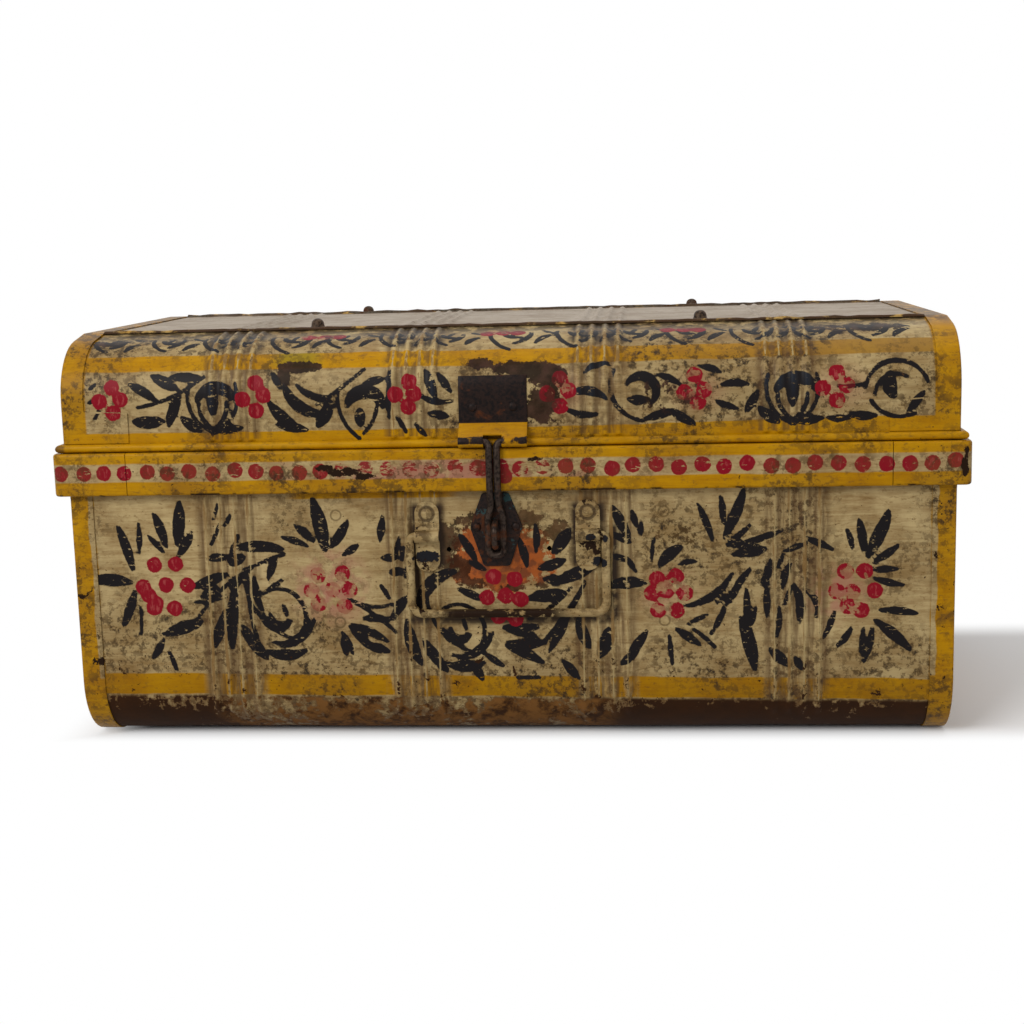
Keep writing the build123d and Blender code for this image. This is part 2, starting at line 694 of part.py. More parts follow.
def placed_rivets(places, height, seat, grip, head_radius):
    one = rivet(seat, grip, head_radius)
    return Compound([Pos(x, 0, height) * one for x in places])


def lid_stud():
    """A domed stud with a flared base and a shank through the sheet."""
    slope = radians(45)
    dome_low = stud_height - stud_radius
    rings = [
        (0, stud_base_radius),
        (stud_base, stud_radius),
        (dome_low, stud_radius),
        (dome_low + stud_radius * sin(slope), stud_radius * cos(slope)),
        (stud_height, stud_radius / 4),
    ]
    sections = [Pos(0, 0, z) * RegularPolygon(radius, small_sides) for z, radius in rings]
    shank = Pos(0, 0, -2 * sheet) * extrude(RegularPolygon(stud_shank, small_sides), amount=2 * sheet)
    return loft(sections, ruled=True) + shank


def all_nodes():
    roll = edge_roll()
    nodes = {
        "case_shell": case_shell(),
        "case_end_left": case_end_panel(-1),
        "case_end_right": case_end_panel(1),
        "lid_front_shoulder": lid_front_shoulder(roll),
        "lid_back_shoulder": lid_back_shoulder(roll),
        "lid_top_panel": lid_top_panel(),
        "lid_end_left": lid_end_panel(-1, roll),
        "lid_end_right": lid_end_panel(1, roll),
        "lid_edge_wire": edge_bar(RegularPolygon(edge_wire_radius, small_sides)),
        "lid_studs": Compound([front_stud_frame(x) * lid_stud() for x in stud_places()]
                              + [back_stud_frame(x) * lid_stud() for x in stud_places()]),
        "hasp_plate": hasp_plate(),
        "hasp_plate_rivets": placed_rivets(
            hasp_rivet_places(), hasp_rivet_height, lid_wall + hasp_plate_thickness,
            hasp_plate_thickness + sheet, rivet_head),
        "hasp_loop": hasp_loop(),
        "staple_plate": staple_plate(),
        "staple_plate_rivets": placed_rivets(
            staple_rivet_places(), staple_widest, case_wall + staple_plate_thickness,
            staple_plate_thickness + sheet, rivet_head),
        "staple": staple(),
        "handle_bail": handle_bail(),
        "handle_bracket_rivets": placed_rivets(
            bracket_places(), bracket_rivet_height, bracket_back + bracket_thickness,
            bracket_thickness + rib_height + sheet, bracket_rivet_head),
    }
    nodes.update(collar_lengths())
    for name, bracket_x in zip(("left", "right"), bracket_places()):
        nodes["handle_bracket_" + name] = handle_bracket(bracket_x)
    for name, x in zip(("left", "right"), hinge_places()):
        nodes["hinge_case_leaf_" + name] = hinge_case_leaf(x)
        nodes["hinge_lid_leaf_" + name] = hinge_lid_leaf(x)
        nodes["hinge_pin_" + name] = hinge_pin_rod(x)
    return nodes


os.makedirs("parts", exist_ok=True)
for node, shape in all_nodes().items():
    export_step(shape, os.path.join("parts", node + ".step"))
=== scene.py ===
# %% [markdown]
# # A small painted tin trunk
# The trunk is made of thin tinplate: one ribbed sheet wraps front, bottom and back, two ends are
# turned over it, a hollow collar runs round the top, and a round-edged lid closes on the collar.
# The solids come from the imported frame. Here each sheet gets its soft bends, its rounded ribs,
# its dents and its paint, and the wires and rivets get their round shapes.

# %% Load the frame
import math
import random

import bmesh
import bpy
import numpy as np
from mathutils import Matrix, Vector, noise


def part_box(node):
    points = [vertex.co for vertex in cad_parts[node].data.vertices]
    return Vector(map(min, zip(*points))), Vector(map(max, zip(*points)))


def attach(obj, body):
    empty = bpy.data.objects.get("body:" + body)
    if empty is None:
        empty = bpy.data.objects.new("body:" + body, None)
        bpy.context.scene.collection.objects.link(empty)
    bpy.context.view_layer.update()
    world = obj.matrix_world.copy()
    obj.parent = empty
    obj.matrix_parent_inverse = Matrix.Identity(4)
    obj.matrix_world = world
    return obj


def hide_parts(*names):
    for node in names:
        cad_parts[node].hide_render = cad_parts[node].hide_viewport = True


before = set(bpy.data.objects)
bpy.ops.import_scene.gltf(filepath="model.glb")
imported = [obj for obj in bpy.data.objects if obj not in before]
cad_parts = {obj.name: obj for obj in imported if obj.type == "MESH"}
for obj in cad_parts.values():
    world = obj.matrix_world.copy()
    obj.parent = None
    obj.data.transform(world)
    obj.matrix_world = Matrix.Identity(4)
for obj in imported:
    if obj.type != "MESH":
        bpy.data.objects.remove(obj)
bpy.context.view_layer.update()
print("nodes in the frame:", len(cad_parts))

# %% [markdown]
# ## Sizes
# Everything is worked out in millimetres and scaled to metres when a mesh is finished. The main
# faces are read from the frame, so the pieces here follow the solids when these change.

# %% Main faces, read from the frame
MM = 0.001


def low(node):
    """Lowest corner of a node, in millimetres."""
    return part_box(node)[0] / MM


def high(node):
    """Highest corner of a node, in millimetres."""
    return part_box(node)[1] / MM


SHEET = 0.7
RIB_HEIGHT = 1.2
CASE_LOW = low("case_shell").z
CASE_WALL = high("case_shell").y - RIB_HEIGHT
CASE_END = high("case_end_right").x
CASE_TOP = high("case_shell").z
CASE_BEND = 36.0
COLLAR_LOW, COLLAR_TOP = low("collar_front").z, high("collar_front").z
COLLAR_WALL = -low("collar_front").y
COLLAR_END = high("collar_end_right").x
COLLAR_LAP = high("collar_front").x
FLANGE = 13.0
print("collar from", round(COLLAR_LOW, 1), "to", round(COLLAR_TOP, 1), "mm above the floor")

# %% Faces of the lid
BEAD = 2.25
BEAD_Y = -low("lid_front_shoulder").y - BEAD
BEAD_X = high("lid_end_right").x - BEAD
BEAD_Z = low("lid_end_right").z + BEAD
LID_WALL = BEAD_Y - 1.55
LID_END = BEAD_X - 1.55
SHOULDER = 33.0
SPRING_Z = BEAD_Z + 25.7
SLOPE = math.radians(10)
SHOULDER_Y = LID_WALL - SHOULDER
SEAM_Y = LID_WALL - 45.05
CROWN = (SHOULDER_Y + SHOULDER * math.sin(SLOPE), SPRING_Z + SHOULDER * math.cos(SLOPE))
TOP_Z = CROWN[1] + (CROWN[0] - SEAM_Y) * math.tan(SLOPE)
print("lid wall at", round(LID_WALL, 2), "mm, its top at", round(TOP_Z, 2), "mm")

# %% [markdown]
# ## Camera, light and floor
# The trunk is seen from the front, a little from the right and from above. A large soft lamp
# stands to the left in front, a second one above and a weak one to the right, and a pale world
# fills the shadows. The floor goes over into plain white away from the trunk, so it holds the
# shadow and shows no horizon. To the trunk it gives back less light than a white floor would,
# which keeps the lower front dark.

# %% Camera
EYE = Vector((80.5, -1041.7, 289.9)) * MM
YAW, PITCH, ROLL = 0.0838, -0.1698, 0.0265
FOCAL = 1656.25          # in widths of a 1024th of the picture
SENSOR = 36.0
camera_data = bpy.data.cameras.new("camera")
camera_data.sensor_width = SENSOR
camera_data.lens = FOCAL * SENSOR / 1024
camera = bpy.data.objects.new("camera", camera_data)
camera.matrix_world = (
    Matrix.Translation(EYE)
    @ Matrix.Rotation(YAW, 4, "Z")
    @ Matrix.Rotation(PITCH, 4, "X")
    @ Matrix.Rotation(ROLL, 4, "Y")
    @ Matrix.Rotation(math.pi / 2, 4, "X")
)
bpy.context.scene.collection.objects.link(camera)
bpy.context.scene.camera = camera
bpy.context.scene.view_settings.view_transform = "Standard"
print("lens", round(camera_data.lens, 1), "mm")


# %% Soft lamps
def soft_lamp(name, place, size, watts):
    """A square area lamp that looks at the middle of the trunk."""
    data = bpy.data.lights.new(name, "AREA")
    data.size = size
    data.energy = watts
    lamp = bpy.data.objects.new(name, data)
    aim = Vector((0, 0, 0.1)) - Vector(place)
    lamp.matrix_world = Matrix.Translation(place) @ aim.to_track_quat("-Z", "Y").to_matrix().to_4x4()
    bpy.context.scene.collection.objects.link(lamp)


soft_lamp("key_lamp", (-1.1, -1.7, 1.35), 1.1, 29)
soft_lamp("top_lamp", (0.1, 0.1, 1.9), 1.6, 12.5)
soft_lamp("side_lamp", (1.7, -1.2, 0.7), 1.0, 5)


# %% Colours and signals
WHITE = (1, 1, 1, 1)


def srgb(red, green, blue):
    """A colour as a painter would read it from a chart, 0 to 255, in the renderer's linear values."""
    def linear(value):
        value /= 255
        return value / 12.92 if value <= 0.04045 else ((value + 0.055) / 1.055) ** 2.4
    return (linear(red), linear(green), linear(blue), 1.0)


def by_node(operation):
    """An operator that adds a math node and gives its output."""
    return lambda self, other=None: self.wire.math(operation, self, other)


class Signal:
    """The output of a shader node, used like a number; a | b is the stronger one of two masks."""
    __add__, __sub__ = by_node("ADD"), by_node("SUBTRACT")
    __mul__, __truediv__ = by_node("MULTIPLY"), by_node("DIVIDE")
    __pow__, __or__, __abs__ = by_node("POWER"), by_node("MAXIMUM"), by_node("ABSOLUTE")

    def __init__(self, wire, socket):
        self.wire, self.socket = wire, socket

    def __rsub__(self, other):
        return self.wire.math("SUBTRACT", other, self)

    def clamped(self):
        """Kept between 0 and 1."""
        self.socket.node.use_clamp = True
        return self

    def step(self, start, end):
        """0 below start, 1 above end, smooth between; start may be the higher one."""
        flip = not isinstance(start, Signal) and start > end
        first, last = (end, start) if flip else (start, end)
        given = {"Value": self, "From Min": first, "From Max": last,
                 "To Min": float(flip), "To Max": float(not flip)}
        return self.wire.signal("ShaderNodeMapRange", "Result", given, interpolation_type="SMOOTHSTEP")

    def between(self, start, end, soft=0.5):
        """1 between two values, with edges as soft as a brushed line."""
        return self.step(start - soft, start + soft) * self.step(end + soft, end - soft)


# %% Wiring of shader nodes
class Wiring:
    """Adds nodes to a tree. The place is the coordinate that its noises and its axes follow."""

    def __init__(self, tree):
        self.tree, self.place = tree, None

    def put(self, socket, value):
        if isinstance(value, Signal):
            self.tree.links.new(value.socket, socket)
        elif value is not None:
            socket.default_value = value

    def node(self, kind, inputs, **settings):
        made = self.tree.nodes.new(kind)
        for key, value in settings.items():
            setattr(made, key, value)
        for key, value in inputs.items():
            self.put(made.inputs[key], value)
        return made

    def signal(self, kind, output, inputs, **settings):
        """One output of a new node."""
        return Signal(self, self.node(kind, inputs, **settings).outputs[output])

    def math(self, operation, first, second=None):
        return self.signal("ShaderNodeMath", 0, {0: first, 1: second}, operation=operation)

    def mix(self, share, first, second):
        """The first colour, and the second one over it by a share."""
        given = {0: share, 6: first, 7: second}
        return self.signal("ShaderNodeMix", 2, given, data_type="RGBA", clamp_factor=True)

    def noise(self, scale, detail=4.0, rough=0.55, stretch=None, warp=0.0):
        """Noise between 0 and 1, at so many waves per metre."""
        place = self.place
        if stretch:
            place = self.signal("ShaderNodeMapping", 0, {"Vector": place, "Scale": stretch})
        return self.signal("ShaderNodeTexNoise", "Fac", {"Vector": place, "Scale": scale, "Detail": detail,
                                                         "Roughness": rough, "Distortion": warp})

    def follow_object(self):
        """Takes the object's own coordinates as the place, and gives its three axes."""
        self.place = self.signal("ShaderNodeTexCoord", "Object", {})
        return [Signal(self, part) for part in self.node("ShaderNodeSeparateXYZ", {0: self.place}).outputs]


# %% Floor and world
WORLD_LIGHT, WORLD_SEEN = 0.3, 1.0
FLOOR_LIGHT, FLOOR_SEEN = (0.6, 0.6, 0.6, 1), (0.95, 0.95, 0.955, 1)
FLOOR_SIZE = 30
# edge and softness of the part of the floor that holds the shadow, in metres
SHADOW_EDGES = {"left": (0.215, 0.06), "right": (0.36, 0.12), "front": (0.1, 0.035), "back": (0.1, 0.05)}


def seen_directly(wire):
    """1 where the background is looked at, straight or in a reflection, and 0 where it gives light."""
    rays = wire.node("ShaderNodeLightPath", {}).outputs
    kinds = ("Is Camera Ray", "Is Glossy Ray", "Is Transmission Ray")
    straight, glossy, clear = [Signal(wire, rays[kind]) for kind in kinds]
    return straight | glossy | clear


def white_world():
    world = bpy.data.worlds.new("studio")
    world.use_nodes = True
    world.node_tree.nodes.clear()
    wire = Wiring(world.node_tree)
    strength = seen_directly(wire) * (WORLD_SEEN - WORLD_LIGHT) + WORLD_LIGHT
    light = wire.signal("ShaderNodeBackground", 0, {"Color": WHITE, "Strength": strength})
    wire.node("ShaderNodeOutputWorld", {0: light})
    bpy.context.scene.world = world


def floor_material():
    """Grey near the trunk, where the shadow falls, and plain white further out."""
    material = bpy.data.materials.new("studio_floor")
    material.use_nodes = True
    material.node_tree.nodes.clear()
    wire = Wiring(material.node_tree)
    x, y, _ = wire.follow_object()
    outwards = {"left": x * -1, "right": x, "front": y * -1, "back": y}
    left, right, front, back = [outwards[side].step(edge, edge + softness)
                                for side, (edge, softness) in SHADOW_EDGES.items()]
    looked = seen_directly(wire)
    plain = wire.signal("ShaderNodeBsdfDiffuse", 0, {"Color": wire.mix(looked, FLOOR_LIGHT, FLOOR_SEEN)})
    white = wire.signal("ShaderNodeEmission", 0, {"Color": WHITE, "Strength": 1.0})
    share = (left | right | front | back) * looked
    both = wire.signal("ShaderNodeMixShader", 0, {0: share, 1: plain, 2: white})
    wire.node("ShaderNodeOutputMaterial", {0: both})
    return material


def studio_floor():
    sheet = bmesh.new()
    bmesh.ops.create_grid(sheet, x_segments=1, y_segments=1, size=FLOOR_SIZE)
    mesh = bpy.data.meshes.new("studio_floor")
    sheet.to_mesh(mesh)
    sheet.free()
    mesh.materials.append(floor_material())
    floor = bpy.data.objects.new("studio_floor", mesh)
    bpy.context.scene.collection.objects.link(floor)


white_world()
studio_floor()
print("floor and world are set")

# %% [markdown]
# ## Bending sheet
# Tinplate parts are flat strips bent along straight lines, so each one is a section drawn out
# along the trunk. An `Outline` is walked like a bending plan: run so far, turn by so much. A flat
# grid is then laid on the outline, and every grid point is free to be pressed into a rib or a
# dent. This keeps the faces even, which a pile of joined boxes would not do.

# %% Outline, a section walked by runs and turns
class Outline:
    """A line of straight runs and turns in a plane; left turns are positive."""

    def __init__(self, start, degrees):
        self.point, self.heading = Vector(start), math.radians(degrees)
        self.pieces, self.length = [], 0.0

    def run(self, length):
        return self.add(length, 0.0)

    def turn(self, radius, degrees):
        return self.add(radius * abs(math.radians(degrees)), math.radians(degrees))

    def add(self, length, angle):
        piece = (self.length, length, angle, self.point, self.heading)
        self.pieces.append(piece)
        self.point, self.heading = self.walk(piece, length)
        self.length += length
        return self

    @staticmethod
    def walk(piece, travelled):
        _, length, angle, point, heading = piece
        if not angle:
            return point + travelled * Vector((math.cos(heading), math.sin(heading))), heading
        radius, after = length / angle, heading + angle * travelled / length
        return point + radius * Vector((math.sin(after) - math.sin(heading),
                                        math.cos(heading) - math.cos(after))), after

    def at(self, distance):
        """The point at a distance along the line, and the direction to its right, which is outwards."""
        piece = [p for p in self.pieces if p[0] <= distance + 1e-9][-1]
        point, heading = self.walk(piece, distance - piece[0])
        return point, Vector((math.sin(heading), -math.cos(heading)))

    def stops(self, step, arc_degrees=12):
        """Distances at which a grid gets a row: even steps in runs, small angles in turns."""
        found = [0.0]
        for start, length, angle, _, _ in self.pieces:
            count = math.ceil(abs(math.degrees(angle)) / arc_degrees) if angle else math.ceil(length / step)
            found += [start + length * (k + 1) / count for k in range(count)]
        return found


# %% Grid laid on a place function
def laid_grid(across, along, place, flip=False):
    """A grid whose point in column i and row j goes to place(across[i], along[j]), in millimetres."""
    work = bmesh.new()
    columns, rows = len(across) - 1, len(along) - 1
    bmesh.ops.create_grid(work, x_segments=columns, y_segments=rows, size=0.5)
    for vert in work.verts:
        column, row = round((vert.co.x + 0.5) * columns), round((vert.co.y + 0.5) * rows)
        vert.co = place(across[column], along[row])
    bmesh.ops.remove_doubles(work, verts=work.verts, dist=0.004)
    if flip:
        bmesh.ops.reverse_faces(work, faces=work.faces)
    return work


def even(start, end, step):
    count = max(1, math.ceil(abs(end - start) / step))
    return [start + (end - start) * k / count for k in range(count + 1)]


# %% From a working mesh to a finished piece
SHARP = math.radians(38)


def join(works):
    """Several working meshes as one."""
    whole = bmesh.new()
    for work in works:
        part = bpy.data.meshes.new("part")
        work.to_mesh(part)
        whole.from_mesh(part)
        bpy.data.meshes.remove(part)
        work.free()
    return whole


def finish_piece(name, body, work, materials, node, thickness=0.0, edge=0.0):
    """Gives a working mesh its wall and soft edges in metres; it rides on a body and replaces a node."""
    bmesh.ops.scale(work, vec=(MM, MM, MM), verts=work.verts)
    mesh = bpy.data.meshes.new(name)
    work.to_mesh(mesh)
    work.free()
    for material in materials:
        mesh.materials.append(material)
    piece = bpy.data.objects.new(name, mesh)
    bpy.context.scene.collection.objects.link(piece)
    if thickness:
        wall = piece.modifiers.new("wall", "SOLIDIFY")
        wall.thickness, wall.offset = thickness * MM, -1
        wall.material_offset = 1 if len(materials) > 1 else 0
    if edge:
        soft = piece.modifiers.new("edge", "BEVEL")
        soft.width, soft.segments = edge * MM, 2
        soft.limit_method, soft.angle_limit = "ANGLE", SHARP
    if piece.modifiers:
        shaped = bpy.data.meshes.new_from_object(piece.evaluated_get(bpy.context.evaluated_depsgraph_get()))
        piece.modifiers.clear()
        piece.data = shaped
        bpy.data.meshes.remove(mesh)
        shaped.name = name
    piece.data.shade_smooth()
    piece.data.set_sharp_from_angle(angle=SHARP)
    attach(piece, body)
    if node:
        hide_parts(node)
    print(name, len(piece.data.polygons), "faces")
    return piece

# %% [markdown]
# ## Ribs and dents
# The ribs were pressed into the flat sheet with a wheel before it was bent, four at a time. They
# stiffen the thin tin. A rib is a rounded ridge, so its height over the sheet is half a cosine
# wave. Old tin is never flat either: a slow noise moves the sheets in and out by a part of a
# millimetre, and the highlights then wander as on the real thing.

# %% Rib places and their height
PAINT_STEP = 1.8         # how close the points of a painted sheet lie, so strokes keep their edges
LID_STEP = 1.6           # the same on the lid, whose strokes are finer
RIB_FOOT = 4.6
RIB_SHIFT = 2.0


def rib_places(spacing, pitch):
    """The middle of every rib: four groups of four."""
    steps = [place - 1.5 for place in range(4)]
    return [RIB_SHIFT + spacing * group + pitch * rib for group in steps for rib in steps]


CASE_RIBS = rib_places(106.5, 8.2)
LID_RIBS = rib_places(102.5, 7.4)


def rib_height(x, ribs):
    away = min(abs(x - rib) for rib in ribs)
    return RIB_HEIGHT * math.cos(math.pi * away / RIB_FOOT) if away < RIB_FOOT / 2 else 0.0


def rib_columns(ribs, end, extra=(), step=7.0):
    """Columns of a ribbed sheet: close together over each rib, step apart between the groups."""
    columns = set(even(-end, end, step)) | set(extra)
    for rib in ribs:
        columns = {x for x in columns if abs(x - rib) > RIB_FOOT / 2 + 0.8}
    for rib in ribs:
        columns |= {rib + share * RIB_FOOT / 2 for share in (-1, -0.62, -0.3, 0, 0.3, 0.62, 1)}
    return sorted(columns | {-end, end})


def ramp(value, start, end):
    """0 at start, 1 at end, smooth between."""
    share = min(1.0, max(0.0, (value - start) / (end - start)))
    return share * share * (3 - 2 * share)


def dent(x, y, z, depth=0.5):
    """How far the sheet stands out of its true face at a point, in millimetres."""
    broad = noise.noise(Vector((x, y, z)) / 75.0)
    fine = noise.noise(Vector((x + 400, y, z)) / 26.0)
    return depth * (broad + 0.4 * fine)


print("case ribs at", [round(x) for x in CASE_RIBS])

# %% [markdown]
# ## The wrapped sheet of the case
# One sheet makes the front, the bottom and the back. The section starts at the top of the front
# wall, goes down, turns under with the bottom bend and rises again as the back wall. The inside
# keeps bare tin, so the wall's inner face gets its own material.

# %% Section of the case
def case_outline(growth=0.0, top=CASE_TOP):
    half, floor = CASE_WALL + growth, CASE_LOW - growth
    radius = CASE_BEND + growth
    return (Outline((-half, top), -90).run(top - floor - radius).turn(radius, 90)
            .run(2 * (half - radius)).turn(radius, 90).run(top - floor - radius))


RIB_END = COLLAR_LOW - 0.3
HOLE_RADIUS, HOLE_SPACING, HOLE_X, HOLE_Z = 1.5, 56.3, -3.6, 112.8
HOLES = [HOLE_X - HOLE_SPACING / 2, HOLE_X + HOLE_SPACING / 2]


def case_sheet():
    outline = case_outline()
    wall = CASE_TOP - CASE_LOW - CASE_BEND
    bend = CASE_BEND * math.pi / 2
    behind_collar = CASE_TOP - RIB_END

    def place(x, distance):
        point, out = outline.at(distance)
        from_top = min(distance, outline.length - distance)
        rib = ramp(from_top, behind_collar, behind_collar + 2)
        rib *= 1 - ramp(from_top, wall + 0.30 * bend, wall + 0.46 * bend)
        near_end = ramp(CASE_END - abs(x), 12, 40) * ramp(from_top, 30, 60)
        lift = rib * rib_height(x, CASE_RIBS) + near_end * dent(x, point.x, point.y)
        if point.y < CASE_LOW + 3:
            lift = min(lift, 0.0)
        return (x, point.x + lift * out.x, point.y + lift * out.y)

    offsets = (-HOLE_RADIUS, 0, HOLE_RADIUS)
    hole_row, painted = CASE_TOP - HOLE_Z, wall + 0.8 * bend
    rows = set(even(0, behind_collar, 8)) | set(even(behind_collar + 2, painted, PAINT_STEP))
    rows |= {behind_collar + 1} | {row for row in outline.stops(14.0, 10) if row > painted}
    rows = {row for row in rows if abs(row - hole_row) > HOLE_RADIUS + 0.7}
    rows |= {hole_row + offset for offset in offsets}
    hole_columns = [x + offset for x in HOLES for offset in offsets]
    columns = rib_columns(CASE_RIBS, CASE_END - SHEET, hole_columns, PAINT_STEP)
    work = laid_grid(columns, sorted(rows), place, flip=True)
    open_holes(work)
    return work


def open_holes(work):
    """Two empty holes of a lost lock: the four faces round each middle go, their rim turns round."""
    for middle in HOLES:
        rim, core = [], []
        for vert in work.verts:
            across, up = vert.co.x - middle, vert.co.z - HOLE_Z
            if vert.co.y < 0 and max(abs(across), abs(up)) < HOLE_RADIUS + 0.1:
                (core if max(abs(across), abs(up)) < 0.1 else rim).append(vert)
        for vert in rim:
            offset = Vector((vert.co.x - middle, vert.co.z - HOLE_Z)).normalized() * HOLE_RADIUS
            vert.co.x, vert.co.z = middle + offset.x, HOLE_Z + offset.y
        bmesh.ops.delete(work, geom=core, context="VERTS")

# %% [markdown]
# ## Effects shared by the finishes
# Old oil paint on tin always shows the same few things: brush streaks along the trunk, mottling,
# flakes and specks where the paint has let go, and grime. Each one is a node group with named
# inputs, built once and given other values in each material. Groups only hand out masks, colours
# and heights; the shader itself stays in the material.

# %% Colours of the paint box
CREAM, CREAM_AGED = srgb(190, 167, 119), srgb(124, 94, 53)
OCHRE, OCHRE_AGED = srgb(189, 137, 0), srgb(153, 101, 0)
WORN_OCHRE, FADED_OCHRE, OLIVE = srgb(107, 69, 7), srgb(134, 103, 55), srgb(142, 124, 14)
# The blue-grey black is a painted sheen on the black strokes where they cross the lid's rib crests.
BLACK, SHEEN_ON_BLACK, DAB_BLACK = srgb(20, 16, 17), srgb(30, 34, 42), srgb(22, 22, 26)
RED, RED_AGED = srgb(130, 12, 28), srgb(164, 75, 71)
ORANGE, ORANGE_BURNT, PINK = srgb(158, 77, 28), srgb(112, 52, 25), srgb(166, 116, 93)
RUBBED = srgb(169, 149, 105)
TOP_BEIGE, TOP_AGED, TOP_WORN = srgb(168, 154, 136), srgb(124, 106, 84), srgb(78, 59, 41)
SEAM_BROWN, SEAM_GRIME = srgb(74, 53, 36), srgb(66, 52, 37)
GROUND, GROUND_WARM, GROUND_LID = srgb(30, 15, 4), srgb(58, 31, 8), srgb(77, 52, 32)
BURNT, CHARRED, BLOTCH = srgb(75, 48, 30), srgb(59, 37, 28), srgb(87, 59, 27)
SPECK, VEIL, CLUSTER = srgb(100, 71, 32), srgb(103, 77, 37), srgb(66, 46, 23)
# The groove colour is part dirt and part painted shade in the hollows between the ribs.
SOOT, GROOVE_DIRT_AND_SHADE = srgb(32, 27, 23), srgb(82, 58, 35)
# The second and third colours here are painted shade: a dark ring at the foot of each bracket rivet, and the
# bail's shadow on the case.
RING_BROWN, RIVET_FOOT_SHADE, BAIL_SHADOW_BROWN = srgb(82, 64, 37), srgb(52, 37, 25), srgb(52, 39, 28)
BASE_EDGE, BASE_FAINT = srgb(103, 75, 43), srgb(122, 82, 40)
RUST = srgb(85, 46, 23)

# %% A node group with named sockets
SOCKETS = {"vector": "NodeSocketVector", "value": "NodeSocketFloat", "colour": "NodeSocketColor"}


def new_group(name, inputs, outputs):
    """An empty group: its wiring, its inputs as signals and its output sockets."""
    tree = bpy.data.node_groups.new(name, "ShaderNodeTree")
    for way, sockets in (("INPUT", inputs), ("OUTPUT", outputs)):
        for label, kind in sockets.items():
            tree.interface.new_socket(name=label, in_out=way, socket_type=SOCKETS[kind])
    wire = Wiring(tree)
    source = tree.nodes.new("NodeGroupInput").outputs
    given = {label: Signal(wire, source[label]) for label in inputs}
    wire.place = given["Place"]
    return wire, given, tree.nodes.new("NodeGroupOutput").inputs


# %% Brush streaks and mottling
def streaked_group():
    wire, given, out = new_group(
        "streaked paint", {"Place": "vector", "Fresh": "colour", "Aged": "colour", "Age": "value"},
        {"Colour": "colour", "Height": "value"})
    streaks = wire.noise(60, 6, 0.7, stretch=(0.5, 1.0, 6.0), warp=0.9)
    mottle = wire.noise(38, 6, 0.62)
    fine = wire.noise(330, 4, 0.7, stretch=(0.6, 1.0, 1.3))
    aged = ((streaks * 0.42 + mottle * 0.58).step(0.36, 0.66) * given["Age"]).clamped()
    colour = wire.mix(aged, given["Fresh"], given["Aged"])
    wire.put(out["Colour"], wire.mix(fine.step(0.54, 0.68) * 0.55, colour, SPECK))
    wire.put(out["Height"], streaks * 0.7 + fine * 0.3)
    return wire.tree


# %% Grime: speckle in clusters, and brown lines between the ribs, part dirt and part painted shade in the grooves
def grimy_group():
    wire, given, out = new_group(
        "grime", {"Place": "vector", "Colour": "colour", "Amount": "value", "Grooves": "value"},
        {"Colour": "colour"})
    patch = wire.noise(22, 4, 0.6) + given["Amount"] * 0.22
    speckle = wire.noise(210, 6, 0.72)
    colour = wire.mix(patch.step(0.4, 0.75) * 0.36, given["Colour"], VEIL)
    colour = wire.mix(patch.step(0.44, 0.66) * speckle.step(0.49, 0.55) * 0.66, colour, CLUSTER)
    colour = wire.mix(patch.step(0.58, 0.74) * speckle.step(0.56, 0.6) * 0.85, colour, SOOT)
    run = wire.noise(260, 4, 0.6, stretch=(1.0, 1.0, 0.12))
    # brown down the grooves between the ribs: part dirt, part painted shade
    wire.put(out["Colour"], wire.mix(given["Grooves"] * run.step(0.36, 0.58) * 0.8, colour, GROOVE_DIRT_AND_SHADE))
    return wire.tree


# %% Flakes and specks where the paint has let go
def flaked_group():
    wire, given, out = new_group(
        "flaked paint", {"Place": "vector", "Amount": "value", "Rubbed": "value"}, {"Bare": "value"})
    level = 0.745 - given["Amount"] * 0.3 - given["Rubbed"] * 0.16
    flakes = (wire.noise(75, 8, 0.68, warp=0.5) - level).step(0, 0.02)
    dots = (wire.noise(520, 2, 0.5) + given["Amount"] * 0.1).step(0.74, 0.77)
    wire.put(out["Bare"], (flakes | dots).clamped())
    return wire.tree


# %% Ragged edge of a brush stroke
def ragged_group():
    wire, given, out = new_group(
        "ragged stroke", {"Place": "vector", "Distance": "value", "Wobble": "value", "Dryness": "value"},
        {"Paint": "value"})
    wobble = (wire.noise(260, 4, 0.6) - 0.5) * given["Wobble"]
    inside = (given["Distance"] + wobble).step(0.25, -0.25)
    missing = given["Dryness"] * 0.5
    kept = wire.noise(330, 4, 0.7, stretch=(0.6, 1.0, 1.6)).step(missing, missing + 0.05)
    wire.put(out["Paint"], inside * kept)
    return wire.tree


# %% Rust and stains on iron and bare tin
def rusted_group():
    wire, given, out = new_group(
        "rusted iron", {"Place": "vector", "Metal": "colour", "Stain": "colour", "Rust": "value"},
        {"Colour": "colour", "Rusted": "value", "Height": "value"})
    rusted = (wire.noise(70, 6, 0.65, warp=0.6) + given["Rust"] * 0.3).step(0.56, 0.72)
    fine = wire.noise(600, 4, 0.6)
    colour = wire.mix(fine.step(0.4, 0.65), given["Metal"], given["Stain"])
    wire.put(out["Colour"], wire.mix(rusted, colour, RUST))
    wire.put(out["Rusted"], rusted)
    wire.put(out["Height"], fine * 0.6 + rusted * 0.4)
    return wire.tree


STREAKED, FLAKED, RAGGED = streaked_group(), flaked_group(), ragged_group()
RUSTED, GRIMY = rusted_group(), grimy_group()
print("shared effects:", [tree.name for tree in bpy.data.node_groups])

# %% [markdown]
# ## The finishes
# Cream, ochre, black and red are all thin oil paint over a dark ground coat, so where the paint is
# gone the dark ground shows first and bare metal only on the worst places. The bands are masks by
# height, the strokes come from the numbers stored in the vertices, and wear is laid over both. A
# `Finish` is painted like the trunk was: coats go on one after the other, the last one on top.

# %% A finish in the making
DULL = 0.09              # old oil paint reflects far less than fresh gloss


